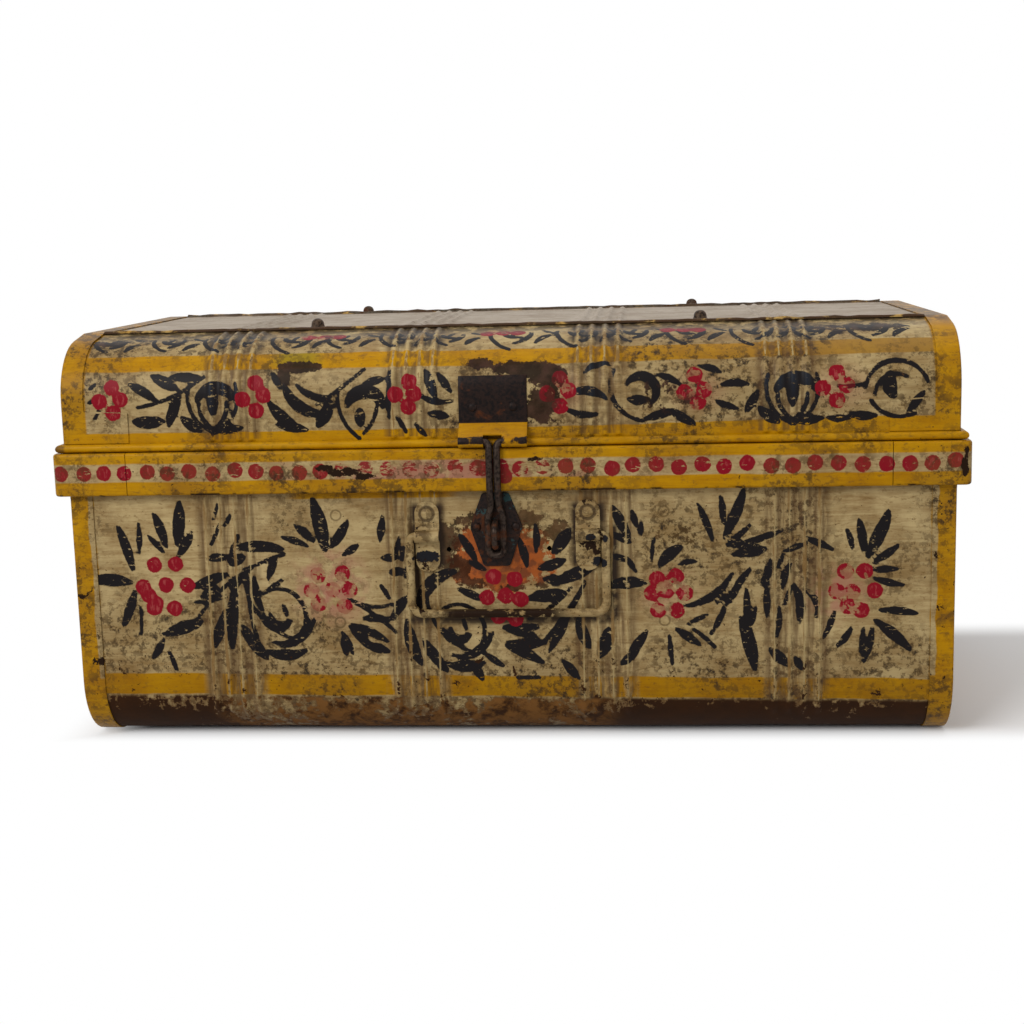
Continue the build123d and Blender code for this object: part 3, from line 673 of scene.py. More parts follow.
class Finish(Wiring):
    """A material whose colour is built up in coats."""

    def __init__(self, name):
        self.material = bpy.data.materials.new(name)
        self.material.use_nodes = True
        super().__init__(self.material.node_tree)
        self.x, self.y, self.z = [axis * 1000 for axis in self.follow_object()]
        self.colour = None

    def coat(self, share, colour):
        """Lays a colour over what is there."""
        self.colour = self.mix(share, self.colour, colour)

    def use(self, group, **values):
        """Places a shared effect and gives its outputs by their names."""
        placed = self.node("ShaderNodeGroup", {}, node_tree=group)
        for label, value in {"Place": self.place, **values}.items():
            self.put(placed.inputs[label], value)
        return {socket.name: Signal(self, socket) for socket in placed.outputs}

    def brushed(self, fresh, aged, age):
        """Streaky paint: its colour and the height of its streaks."""
        paint = self.use(STREAKED, Fresh=fresh, Aged=aged, Age=age)
        return paint["Colour"], paint["Height"]

    def flaked(self, amount, rubbed):
        """1 where the paint has let go."""
        return self.use(FLAKED, Amount=amount, Rubbed=rubbed)["Bare"]

    def grime(self, amount, grooves=0.0):
        self.colour = self.use(GRIMY, Colour=self.colour, Amount=amount, Grooves=grooves)["Colour"]

    def stored(self, name):
        """A number stored in the vertices."""
        return self.signal("ShaderNodeAttribute", "Fac", {}, attribute_name=name)

    def wobble(self, amount):
        """The wander of a painted edge, in millimetres."""
        return (self.noise(45, 4) - 0.5) * amount

    def grooves(self):
        """1 between two ribs of a group, 0 on a crest and away from the ribs."""
        return (self.stored("among") - self.stored("crest") * 1.3).clamped()

    def blotted(self, name, ease=0.0):
        """A stain with hard, crawling edges, grown from a soft cloud; ease makes it fuller."""
        cloud_here = self.stored(name)
        grown = self.noise(120, 7, 0.7) + cloud_here * 0.38
        return grown.step(0.72 - ease, 0.77 - ease) * cloud_here.step(0.0, 0.12)

    def ring(self, across, up, radius, half):
        """1 on a thin circle round a middle, 0 elsewhere."""
        away = self.math("SQRT", across ** 2 + up ** 2)
        return abs(away - radius).step(half * 1.5, half * 0.5)

    def finish(self, height, roughness, depth=0.12, metallic=None):
        """Connects colour, roughness and bump to the shader; the depth is in millimetres."""
        shader = self.tree.nodes["Principled BSDF"]
        bump = self.signal("ShaderNodeBump", 0, {"Height": height, "Strength": 0.6, "Distance": depth * MM})
        given = {"Base Color": self.colour, "Roughness": roughness, "Normal": bump,
                 "Specular IOR Level": DULL, "Metallic": metallic}
        for label, value in given.items():
            self.put(shader.inputs[label], value)
        return self.material


# %% Strokes and dabs on a finish
STREAKY = {"scale": 380, "detail": 4, "rough": 0.65, "stretch": (1.5, 1.0, 0.5)}


def ornament(paint, wear, rub, ink_and_sheen=BLACK):
    """Black strokes and red dabs; crests lose theirs by rub, smears by blots. Gives their mask."""
    crest_here, smear = paint.stored("crest"), paint.stored("pink_smear")
    black_distance, red_distance = paint.stored("black_paint"), paint.stored("red_paint")
    wear = (crest_here * rub | wear).clamped()
    black = paint.use(RAGGED, Distance=black_distance, Wobble=1.5, Dryness=wear * 0.3 + 0.68)["Paint"]
    red = paint.use(RAGGED, Distance=red_distance, Wobble=2.0, Dryness=smear * 0.14 + 0.6)["Paint"]
    blots = paint.noise(150, 3, 0.5) - smear * 0.15
    kept = blots.step(0.38, 0.41) | smear.step(0.16, 0.06)
    red = red * (kept * 0.62 + 0.38)
    middle = red_distance.step(-0.9, -2.2) * paint.noise(**STREAKY).step(0.5, 0.62)
    paint.coat(black, ink_and_sheen)
    paint.coat(red, paint.mix(middle * 0.6, RED, RED_AGED))
    run = paint.noise(210, 5, 0.65, stretch=(1.0, 1.0, 0.16))
    rubbed = (crest_here * rub + run * 0.95).step(0.83, 0.9) * crest_here.step(0.12, 0.3)
    paint.coat(rubbed * 0.85, paint.mix(run.step(0.42, 0.6), RUBBED, CREAM_AGED))
    return black | red


# %% Paint of the case
CASE_BAND = (26.7, 39.3)
CASE_STRIP = (142.5, 147)            # what is left of an ochre strip under the collar
CASE_SIDE = (234.3, 235.6)
FAINT_BASE = (-165, 55, 12)          # where the dark base is worn to a mottled brown
FLUSH_RIVETS = (92.0, 31.0, 102.0)   # half their spacing across and up, and the height of their middle


def stains_on_case(paint):
    """Rust round the staple, burnt paint round the hasp and red wiped over the cream."""
    burnt = paint.mix(paint.noise(130, 5).step(0.42, 0.64), GROUND, BURNT)
    scorch = paint.mix(paint.noise(160, 5).step(0.46, 0.6), ORANGE, ORANGE_BURNT)
    paint.coat(paint.blotted("orange_stain", 0.14) * 0.95, scorch)
    paint.coat(paint.blotted("brown_stain") * 0.9, burnt)
    paint.coat(paint.stored("pink_smear") * paint.noise(130, 5).step(0.38, 0.6), PINK)


def flush_rivets(paint):
    """Thin rings in the paint, over rivets that lie flush under it, on the front only."""
    across = abs(paint.x + 3.5) - FLUSH_RIVETS[0]
    up = abs(paint.z - FLUSH_RIVETS[2]) - FLUSH_RIVETS[1]
    rings = paint.ring(across, up, 2.9, 0.5) * paint.y.step(-100, -101)
    paint.coat(rings * 0.6, RING_BROWN)


def dark_base(paint, level):
    """The ragged dark base below the band; gives where it is dark and where it is worn to brown."""
    under_band, faint = level.step(27.0, 24.5), paint.x.between(*FAINT_BASE)
    broken = paint.noise(26, 4, 0.6) * 0.5 + paint.noise(170, 5, 0.68) * 0.5
    broken = broken + paint.noise(230, 4, 0.6, stretch=(1.0, 1.0, 0.15)) * 0.25 - (faint * 0.06 + 0.125)
    broken = broken + (level.step(27, 11) * 0.09 - 0.05)
    paint.coat(under_band * broken.step(0.34, 0.43), BASE_EDGE)
    mottled = paint.noise(110, 6, 0.7, warp=0.4).step(0.36, 0.6)
    return under_band * broken.step(0.412, 0.44), faint * under_band * mottled


def case_finish():
    paint = Finish("case_paint")
    level = paint.z + paint.x * 0.012 + paint.wobble(3)
    paint.colour, streaks = paint.brushed(CREAM, CREAM_AGED, 0.85)
    ochre, _ = paint.brushed(OCHRE, OCHRE_AGED, 0.8)
    run = paint.noise(150, 5, 0.65, stretch=(1.0, 1.0, 0.14))
    band_lost = paint.stored("among") * run.step(0.42, 0.54)
    band = level.between(*CASE_BAND) * (1 - band_lost * 0.8)
    paint.coat(band, paint.mix(0.3, ochre, WORN_OCHRE))
    paint.coat(paint.z.between(*CASE_STRIP) * paint.x.between(-120, -30, 6), ochre)
    paint.coat((abs(paint.x) + paint.wobble(5)).step(*CASE_SIDE), ochre)
    stains_on_case(paint)
    low_down, handled = level.step(95, 25), paint.x.between(62, 165, 25) * 0.4
    # between the ribs the grime adds brown lines, part dirt and part painted shade
    paint.grime((low_down * 0.85 | handled) * (1 - band * 0.9), paint.grooves())
    flush_rivets(paint)
    # painted shadow of the bail and of the bracket edges, darkening the case along them
    paint.coat(paint.stored("bail_shadow_line") * paint.noise(120, 5).step(0.3, 0.5), BAIL_SHADOW_BROWN)
    painted = ornament(paint, paint.stored("pink_smear"), 0.5)
    base, faint = dark_base(paint, level)
    wear = low_down * 0.42 + paint.stored("brown_stain") * 0.25
    bare = paint.flaked(wear, paint.stored("crest") * 0.45) | base
    ground = paint.mix(paint.noise(90, 4), GROUND, GROUND_WARM)
    paint.coat(bare, paint.mix(faint, ground, BASE_FAINT))
    return paint.finish(streaks - bare + painted * 0.6, bare * 0.3 + 0.42)


# %% Paint of the ends
def blotches(paint):
    return paint.noise(26, 7, 0.68, warp=0.5).step(0.58, 0.66)


def end_finish():
    paint = Finish("end_paint")
    paint.colour, streaks = paint.brushed(OCHRE, OCHRE_AGED, 0.95)
    paint.coat(blotches(paint) * 0.8, BLOTCH)
    border = abs(paint.x) + paint.wobble(5)
    inner = border.step(CASE_END - 9.6, CASE_END - 10.4) * paint.z.step(38, 39.5)
    paint.coat(inner, paint.brushed(CREAM, CREAM_AGED, 0.85)[0])
    paint.grime(0.3)
    bare = paint.flaked(0.34, 0.1)
    paint.coat(bare, GROUND)
    return paint.finish(streaks - bare, bare * 0.3 + 0.42)


# %% Paint of the collar
STRIPE = (154.4, 164.7)
WIPED = (-128, 45, 18)               # where the red of the dots was wiped along the stripe
WIPED_DOTS, FADED_DOTS, HASP_DOTS = (-97, -14, 14), (-91, -31, 10), (9, 30, 3)


def collar_finish():
    paint = Finish("collar_paint")
    x = paint.x
    paint.colour, streaks = paint.brushed(OCHRE, OCHRE_AGED, 0.8)
    cream, _ = paint.brushed(CREAM, CREAM_AGED, 0.75)
    wiped = paint.noise(45, 5).step(0.4, 0.56) * (x.between(*WIPED) + 0.12)
    stripe = (paint.z + paint.wobble(1.6)).between(*STRIPE) * paint.stored("striped")
    paint.coat(stripe, paint.mix(wiped, cream, PINK))
    red_distance = paint.stored("red_paint")
    dryness = (x.between(*WIPED_DOTS) | x.between(*HASP_DOTS)) * 0.3 + 0.66
    red = paint.use(RAGGED, Distance=red_distance, Wobble=1.8, Dryness=dryness)["Paint"]
    middle = red_distance.step(-0.9, -2.2) * paint.noise(**STREAKY).step(0.52, 0.7)
    rubbed = (x.between(*FADED_DOTS) * 0.25 | middle) * 0.7
    paint.coat(red, paint.mix(rubbed, RED, RED_AGED))
    lip = paint.z.step(148.4, 147) * paint.noise(95, 5).step(0.54, 0.62)
    bare = paint.flaked(0.2, 0.0) | paint.blotted("brown_stain", 0.02) | lip
    paint.grime(0.3)
    paint.coat(bare, GROUND)
    return paint.finish(streaks - bare, bare * 0.3 + 0.4)


# %% Paint of the lid's shoulders, by the height taken up the sheet
UPPER_BAND, LOWER_BAND = (40.5, 51.0), (5.9, 5.1)
LID_SIDE = (234.6, 235.8)


def lid_finish():
    paint = Finish("lid_paint")
    x = paint.x
    level = paint.stored("lid_height") + paint.wobble(2.2) - x.step(0, 240) * 3
    paint.colour, streaks = paint.brushed(CREAM, CREAM_AGED, 0.8)
    ochre, _ = paint.brushed(OCHRE, OCHRE_AGED, 0.7)
    upper_band, lower_band = level.between(*UPPER_BAND), level.step(*LOWER_BAND)
    faded = paint.mix(x.step(60, 230) * 0.7, ochre, FADED_OCHRE)
    fresher = x.between(-126, -103, 6) * level.step(41, 43)
    paint.coat(upper_band, paint.mix(fresher * 0.8, faded, OLIVE))
    paint.coat(lower_band, ochre)
    paint.coat(abs(x).step(*LID_SIDE), ochre)
    paint.coat(paint.stored("pink_smear") * 0.8, PINK)
    grooves = paint.grooves()
    handled = x.between(25, 222, 30) * 0.4 + 0.24
    # between the ribs the grime adds brown lines, part dirt and part painted shade
    paint.grime((upper_band | lower_band) * -0.3 + handled, grooves)
    stain = paint.blotted("brown_stain", 0.03) * 0.94
    charred = paint.mix(paint.noise(110, 5).step(0.42, 0.66), GROUND, CHARRED)
    paint.coat(stain, charred)
    rub = (upper_band | level.step(54, 56)) * 0.25 + 0.3
    # on the rib crests the black strokes turn blue-grey: a painted sheen
    ink_and_sheen = paint.mix(paint.stored("crest") * level.step(8, 30), BLACK, SHEEN_ON_BLACK)
    painted = ornament(paint, 0.0, rub, ink_and_sheen)
    paint.coat(stain * 0.5, charred)
    plate = abs(x).step(LID_END - 2.5, LID_END - 0.5)
    paint.coat(blotches(paint) * plate * 0.8, BLOTCH)
    sooty = grooves * level.step(50, 58) * paint.noise(90, 5).step(0.36, 0.52)
    seam_dirt = level.step(60, 82) * paint.noise(120, 6, 0.68).step(0.42, 0.52)
    paint.coat((sooty | seam_dirt * 0.8) * (1 - plate) * 0.9, BLACK)
    bare = paint.flaked(0.14, paint.stored("crest") * 0.3)
    paint.coat(bare, paint.mix(paint.noise(90, 4), GROUND, GROUND_LID))
    return paint.finish(streaks - bare + painted * 0.6, bare * 0.3 + 0.4)


# %% Paint of the top panel and its seams
def top_finish():
    paint = Finish("top_paint")
    paint.colour, streaks = paint.brushed(TOP_BEIGE, TOP_AGED, 0.8)
    aside = abs(paint.y)
    seam = aside.step(SEAM_Y - 1.6, SEAM_Y - 0.6)
    flecks = paint.noise(170, 5, 0.65, stretch=(0.5, 1, 1)).step(0.54, 0.64)
    paint.coat(seam, paint.mix(flecks, SEAM_BROWN, paint.mix(paint.noise(60, 2), OCHRE, CREAM)))
    grime = aside.step(SEAM_Y - 14, SEAM_Y - 2) * paint.noise(70, 6).step(0.45, 0.62)
    paint.coat(grime * 0.5, SEAM_GRIME)
    bare = paint.flaked(0.2, paint.stored("crest") * 0.4) * (1 - seam)
    paint.coat(bare, TOP_WORN)
    return paint.finish(streaks - bare, 0.5)


# %% Bare and rusty metals
def metal_finish(name, metal, stain, rust, shine, depth=0.1, painted=None):
    """Bare metal under rust; painted adds the remains of a paint colour."""
    paint = Finish(name)
    iron = paint.use(RUSTED, Metal=metal, Stain=stain, Rust=rust)
    paint.colour, metallic = iron["Colour"], (1 - iron["Rusted"]) * shine
    if painted:
        remains, lost = painted
        kept = paint.noise(95, 6, 0.65).step(lost, lost + 0.05)
        paint.coat(kept, remains)
        metallic = metallic * (1 - kept)
    return paint.finish(iron["Height"], iron["Rusted"] * 0.4 + 0.42, depth, metallic)


# %% Hasp plate: dark iron with a strip of the lid's ochre on its slanting foot
FOOT_TOP, WORN_ROLL = (184.4, 184.0), (174.6, 178.6, 0.3)


def hasp_plate_finish():
    paint = Finish("hasp_plate_iron")
    iron = paint.use(RUSTED, Metal=srgb(36, 24, 20), Stain=srgb(16, 12, 12), Rust=0.02)
    paint.colour = iron["Colour"]
    remains = paint.noise(75, 5)
    rolled = (paint.z + paint.noise(160, 4) * 2.4).between(*WORN_ROLL) * remains.step(0.62, 0.56)
    kept = paint.z.step(*FOOT_TOP) * remains.step(0.3, 0.34) * (1 - rolled)
    paint.coat(kept, paint.brushed(OCHRE, OCHRE_AGED, 0.9)[0])
    return paint.finish(iron["Height"], iron["Rusted"] * 0.4 + 0.4, 0.14, (1 - kept) * 0.1)


# %% Bail and brackets: cream, with dabs of black, as (x, z, half width, half height)
BRACKET_DABS = [(-44, 109, 7, 3.2), (52.5, 105.5, 4.2, 2.6), (48, 120, 2.6, 2.2), (56, 119, 1.6, 1.8)]
WORN_BAR = (-36, 32, 8)


def bail_finish():
    paint = Finish("bail_paint")
    x, z = paint.x, paint.z
    paint.colour, streaks = paint.brushed(CREAM, CREAM_AGED, 0.9)
    paint.grime(0.5)
    worn_bar = x.between(*WORN_BAR) * z.step(84, 78) * paint.noise(120, 5, 0.65).step(0.41, 0.45)
    bare = paint.flaked(0.5, 0.0) | worn_bar
    rivet_low, rivet_high = low("handle_bracket_rivets"), high("handle_bracket_rivets")
    head, middle = (rivet_high.z - rivet_low.z) / 2, (rivet_low + rivet_high) / 2
    across = abs(x - middle.x) - ((rivet_high.x - rivet_low.x) / 2 - head)
    # a dark ring just outside each bracket rivet's head: painted shade at its foot
    paint.coat(paint.ring(across, z - middle.z, head + 0.6, 0.8) * 0.75, RIVET_FOOT_SHADE)
    ragged = (paint.noise(280, 4, 0.65) - 0.5) * 3.4
    for spot_x, spot_z, wide, tall in BRACKET_DABS:
        away = ((x - spot_x) / wide) ** 2 + ((z - spot_z) / tall) ** 2 + ragged
        paint.coat(away.step(1.15, 0.95), DAB_BLACK)
    paint.coat(bare, GROUND)
    return paint.finish(streaks - bare, bare * 0.2 + 0.42)


# %% All finishes
case_paint, end_paint, collar_paint = case_finish(), end_finish(), collar_finish()
lid_paint, top_paint, bail_paint = lid_finish(), top_finish(), bail_finish()
bare_tin = metal_finish("bare_tin", srgb(100, 93, 82), srgb(75, 64, 52), 0.04, 0.55)
stud_iron = metal_finish("stud_iron", srgb(78, 62, 48), srgb(36, 27, 21), 0.25, 0.25, 0.16)
hasp_iron = metal_finish("hasp_iron", srgb(39, 28, 24), srgb(20, 17, 17), 0.12, 0.25, 0.16,
                         (srgb(44, 68, 68), 0.57))
wire_steel = metal_finish("wire_steel", srgb(60, 49, 42), srgb(28, 21, 18), 0.12, 0.5, 0.14)
hasp_plate_iron = hasp_plate_finish()
hinge_steel = metal_finish("hinge_steel", srgb(82, 75, 68), srgb(48, 39, 32), 0.5, 0.6, 0.14, (OCHRE, 0.6))
edge_steel = metal_finish("edge_steel", srgb(82, 78, 73), srgb(53, 46, 39), 0.45, 0.6)
print("finishes:", len(bpy.data.materials))

# %% [markdown]
# ## The painted ornament
# The painter used one soft brush for the black leaves and a fingertip or a cork for the berries.
# A picture wrapped on the trunk would blur and could not be worn away. Instead each stroke is put
# down as the painter did it: where the brush touches, its heading, how far it runs and how it
# bends. Every vertex stores how far it lies from the nearest stroke, and the material turns that
# distance into a crisp, ragged edge, so the ornament follows the ribs and the wear eats into it.

# %% One stroke of the brush
FAR = 8.0                # beyond this many millimetres a distance isn't measured
BRUSH = 1.08             # the loaded brush spreads wider than its hair
FINEST = 1.2             # half the width of the finest line, in millimetres


def stroke(x, h, heading, length, width, bend=0):
    """A stroke from (x, h), heading in degrees, that turns by so many degrees as it runs."""
    share = np.linspace(0, 1, 9 + int(abs(bend) / 12))
    angle = np.radians(heading + bend * (share[1:] + share[:-1]) / 2)
    run = length / (len(share) - 1)
    xs = x + np.concatenate(([0], np.cumsum(np.cos(angle) * run)))
    hs = h + np.concatenate(([0], np.cumsum(np.sin(angle) * run)))
    half = BRUSH * width / 2 * np.sin(np.pi * (0.07 + 0.86 * share)) ** 0.7
    return xs, hs, np.maximum(half, FINEST)


def stroke_distance(x, h, strokes):
    """Signed distance in millimetres to the nearest stroke: below 0 inside the paint."""
    nearest = np.full(len(x), FAR)
    for xs, hs, half in strokes:
        reach = FAR / 2 + half.max() * 2
        close = np.flatnonzero((x > xs.min() - reach) & (x < xs.max() + reach)
                               & (h > hs.min() - reach) & (h < hs.max() + reach))
        best = nearest[close]
        for k in range(len(xs) - 1):
            dx, dh = xs[k + 1] - xs[k], hs[k + 1] - hs[k]
            away_x, away_h = x[close] - xs[k], h[close] - hs[k]
            along = np.clip((away_x * dx + away_h * dh) / (dx * dx + dh * dh + 1e-9), 0, 1)
            away = np.hypot(away_x - along * dx, away_h - along * dh)
            best = np.minimum(best, away - half[k] - (half[k + 1] - half[k]) * along)
        nearest[close] = best
    return nearest


def dab_distance(x, h, dabs, radius):
    """Signed distance to round dabs of paint."""
    nearest = np.full(len(x), FAR)
    for dab_x, dab_h in dabs:
        nearest = np.minimum(nearest, np.hypot(x - dab_x, h - dab_h) - radius)
    return nearest


# %% Motifs that come back
def spray(x, h, leaves):
    """Leaves round a middle: (angle round it, reach from it, heading, length, width)."""
    made = []
    for around, reach, heading, length, width in leaves:
        start_x = x + reach * math.cos(math.radians(around))
        start_h = h + reach * math.sin(math.radians(around))
        made.append(stroke(start_x, start_h, heading, length, width, bend=12 if around < 180 else -12))
    return made


def scroll(x, h, size):
    """A ring open to the left, a crescent inside it, and leaves that hug it from outside."""
    def part(right, up, heading, length, width, bend=0):
        return stroke(x + right * size, h + up * size, heading, length * size, width * size, bend)

    return [part(-0.57, 0.82, 35, 4.0, 0.17, -230), part(-0.56, 0.05, 285, 1.25, 0.4, 125),
            part(-0.3, 0.1, 275, 0.55, 0.2, 60), part(0.2, 0.4, 285, 0.4, 0.2),
            part(-1.15, 1.7, 264, 3.1, 0.11, 74), part(-1.33, -0.35, 298, 1.5, 0.42, 14),
            part(-0.45, -1.28, 332, 1.45, 0.36, 58), part(0, -1.12, 12, 1.7, 0.34, 52)]


def fruit(x):
    """A pomegranate: a black cap over a dark core, a fine skin round it and two leaves at its foot."""
    skins = [stroke(x - side * 13, 32, 270 - side * 20, 34, 2, side * 95) for side in (-1, 1)]
    inner = [stroke(x - side * 8, 22, 270 - side * 5, 18, 2.6, side * 70) for side in (-1, 1)]
    return skins + inner + [stroke(x - 9, 23, 68, 28, 7, -138), stroke(x, 31, 270, 16, 6.5),
                            stroke(x - 18, 14, 315, 13, 6, 15), stroke(x + 3, 6, 8, 13, 5)]


def cup(x, size):
    """A deep cup of the upper border: two sides that meet, a comma in it, a dab and a leaf."""
    parts = [(0, 70, 258, 2.5, 2.6, 84), (2.3, 69, 276, 1.8, 3.6, -80), (0.7, 68, 280, 1.3, 3.8, 95),
             (1.5, 71, 250, 0.8, 3, 0), (2.6, 56, 62, 1.3, 4, -40), (3.0, 72, 300, 0.9, 3, 40)]
    return [stroke(x + right * size, h, heading, length * size, width, bend)
            for right, h, heading, length, width, bend in parts]


def seven_berries(x, h, pitch, drop):
    """Two dabs, three and two, one row under the other and none quite in its place."""
    chance = random.Random(round(x))
    places = [((k - (count - 1) / 2) * pitch, row * drop)
              for row, count in enumerate((2, 3, 2)) for k in range(count)]
    return [(x + right + chance.uniform(-1.6, 1.6), h - down + chance.uniform(-1.4, 1.4))
            for right, down in places]


def four_berries(x):
    chance = random.Random(round(x) + 7)
    return [(x + right + chance.uniform(-1, 1), h + chance.uniform(-1, 1))
            for right, h in ((1, 32), (-6, 24), (5, 25), (1, 17))]

# %% The front of the case
SPRAYS = [
    spray(-196, 92, [(150, 21, 100, 27, 5.5), (125, 25, 80, 17, 3.5), (90, 21, 125, 12, 3.5),
                     (85, 24, 102, 20, 5.5), (72, 27, 78, 24, 7), (65, 20, 52, 17, 5),
                     (170, 20, 170, 24, 7), (185, 18, 255, 22, 5.5), (218, 19, 272, 16, 1.2),
                     (312, 29, 200, 23, 5), (264, 31, 245, 12, 4.5), (270, 38, 295, 11, 3)]),
    spray(-102, 93, [(115, 25, 155, 15, 4), (105, 26, 132, 14, 5), (92, 20, 95, 30, 8),
                     (82, 22, 50, 18, 5.5), (60, 20, 28, 10, 4.5), (325, 15, 330, 32, 1.6),
                     (315, 28, 5, 13, 4.5), (300, 27, 340, 22, 5), (302, 42, 355, 10, 4.5),
                     (285, 29, 300, 13, 4)]),
    spray(-1, 86, [(128, 26, 115, 17, 5), (134, 27, 325, 9, 4), (53, 21, 98, 16, 4.5),
                   (54, 31, 84, 15, 4), (41, 37, 50, 16, 7), (38, 25, 12, 15, 6), (355, 14, 8, 17, 7),
                   (22, 24, 358, 10, 5), (267, 19, 350, 19, 5.5), (270, 29, 340, 23, 6),
                   (322, 37, 250, 11, 3.5)]),
    spray(120, 96, [(103, 21, 105, 22, 4), (88, 30, 88, 15, 4), (85, 22, 62, 29, 6),
                    (80, 18, 35, 17, 3.5), (70, 18, 12, 29, 4), (62, 14, 5, 18, 5), (58, 16, 0, 16, 6.5),
                    (330, 16, 275, 18, 4), (282, 15, 250, 20, 3.5), (295, 26, 290, 31, 7.5),
                    (243, 34, 325, 16, 2.5)]),
    spray(192, 87, [(115, 26, 150, 16, 4), (90, 24, 100, 11, 3.5), (75, 23, 92, 18, 5),
                    (67, 21, 60, 28, 7), (55, 20, 28, 16, 4.5), (50, 16, 355, 14, 4),
                    (30, 14, 340, 16, 4), (325, 19, 0, 20, 4.5), (307, 21, 325, 26, 6),
                    (298, 24, 262, 20, 4.5), (286, 22, 270, 14, 3), (270, 21, 240, 13, 4),
                    (230, 15, 255, 16, 3.5)]),
]
SCROLLS = [scroll(-131, 75, 16), scroll(-28, 66, 15)]
# each is (x, height, heading, length, width) and, where it isn't straight, its bend
BRANCHES = [
    # the branch that hangs from the second spray over the first ribs
    (-126, 111, 195, 72, 2.4, 45), (-127, 114, 168, 27, 6.5, 20), (-159, 110, 185, 11, 5),
    (-149, 110, 205, 10, 6), (-159, 100, 200, 23, 6), (-146, 104, 225, 20, 4.5, 15),
    (-166, 93, 215, 11, 4.5), (-161, 87, 205, 19, 2.4, -30), (-158, 82, 240, 27, 6.5, 12),
    (-155, 92, 258, 36, 7, 12), (-176, 72, 190, 21, 6, 12), (-147, 102, 262, 40, 2.4, 25),
    (-144, 98, 270, 20, 4.5, 22), (-131, 110, 250, 14, 4.5), (-128, 96, 215, 14, 3),
    # round the second ribs
    (-69, 132, 262, 14, 4.5), (-70, 108, 5, 9, 4.5), (-66, 100, 5, 8, 5), (-71, 92, 300, 8, 3),
    (-56, 86, 232, 16, 5), (-90, 85, 325, 34, 1.8, 70), (-78, 72, 5, 14, 3.5), (-90, 69, 305, 22, 5, 25),
    (-80, 57, 345, 12, 5), (-94, 64, 275, 12, 4.5), (-57, 72, 272, 27, 7, 28),
    # over and under the handle
    (-50, 78, 85, 33, 7.5, -78), (-27, 90, 335, 16, 4.5), (12, 84, 12, 20, 6), (0, 59, 345, 22, 5.5, 30),
    (-2, 68, 350, 20, 5.5, 20), (-13, 52, 325, 12, 4), (-20, 46, 300, 10, 5), (-33, 46, 5, 15, 3),
    (26, 93, 18, 28, 7, 12), (44, 93, 245, 42, 4, -20), (36, 90, 232, 30, 2.4, -30),
    (34, 72, 240, 17, 5), (40, 73, 280, 19, 6.5, 20), (57, 66, 262, 16, 8, -20), (31, 48, 310, 14, 5),
    # between the handle and the fourth spray
    (60, 136, 298, 20, 6), (71, 133, 285, 8, 4), (76, 127, 265, 7, 3.5), (59, 121, 335, 12, 4.5),
    (60, 108, 345, 8, 4), (68, 107, 300, 9, 3.5), (83, 118, 262, 13, 2.4), (86, 102, 62, 17, 6.5, -42),
    (57, 91, 15, 21, 6.5, -22), (97, 103, 20, 9, 3.5, -20), (68, 50, 55, 18, 5.5), (64, 46, 40, 12, 5),
    (95, 66, 325, 16, 5), (91, 62, 275, 16, 3), (99, 79, 5, 34, 4.5, 58),
    # the third ribs
    (147, 105, 258, 15, 4.5), (155, 110, 20, 12, 3.5), (158, 103, 245, 12, 4), (136, 100, 232, 16, 4),
    (147, 54, 318, 14, 6), (161, 49, 300, 7, 4.5), (160, 91, 300, 24, 5, -50),
    (166, 88, 335, 18, 3.5, -85), (146, 92, 262, 20, 4, 15), (139, 78, 250, 14, 4.5),
    (152, 78, 275, 17, 3.5, -20), (131, 92, 240, 12, 3), (128, 88, 215, 13, 3), (112, 74, 205, 12, 3),
]
LOWEST_DABS = [stroke(x, 38, 8, 3.5, 2.5) for x in (5, 9, 14)]


def rib_dashes(x, count, top, seed):
    """Short slanting dabs that stumbled over a group of ribs."""
    chance = random.Random(seed)
    return [stroke(x + chance.uniform(-9, 9), top - k * 6, 250 + chance.uniform(-12, 12),
                   chance.uniform(7, 12), chance.uniform(2, 3)) for k in range(count)]


FRONT_STROKES = (sum(SPRAYS + SCROLLS, []) + [stroke(*leaf) for leaf in BRANCHES] + LOWEST_DABS
                 + rib_dashes(-158, 5, 140, 3) + rib_dashes(-62, 3, 120, 5) + rib_dashes(155, 4, 108, 9))
FRONT_BERRIES = (seven_berries(-196, 105, 12, 12) + seven_berries(-1, 96, 10, 11)
                 + seven_berries(90, 96, 9, 9) + seven_berries(193, 97, 10, 10)
                 + seven_berries(-100, 99, 12, 9))
# two berries of the first spray ran down into a smear
FRONT_BERRIES += [(-206, 88), (-202, 83)]
print(len(FRONT_STROKES), "strokes and", len(FRONT_BERRIES), "berries on the front")

# %% The front of the lid, its height taken up the sheet from the rolled edge
CUP_COUNT, CUP_START, CUP_PITCH = 14, -232, 32.5
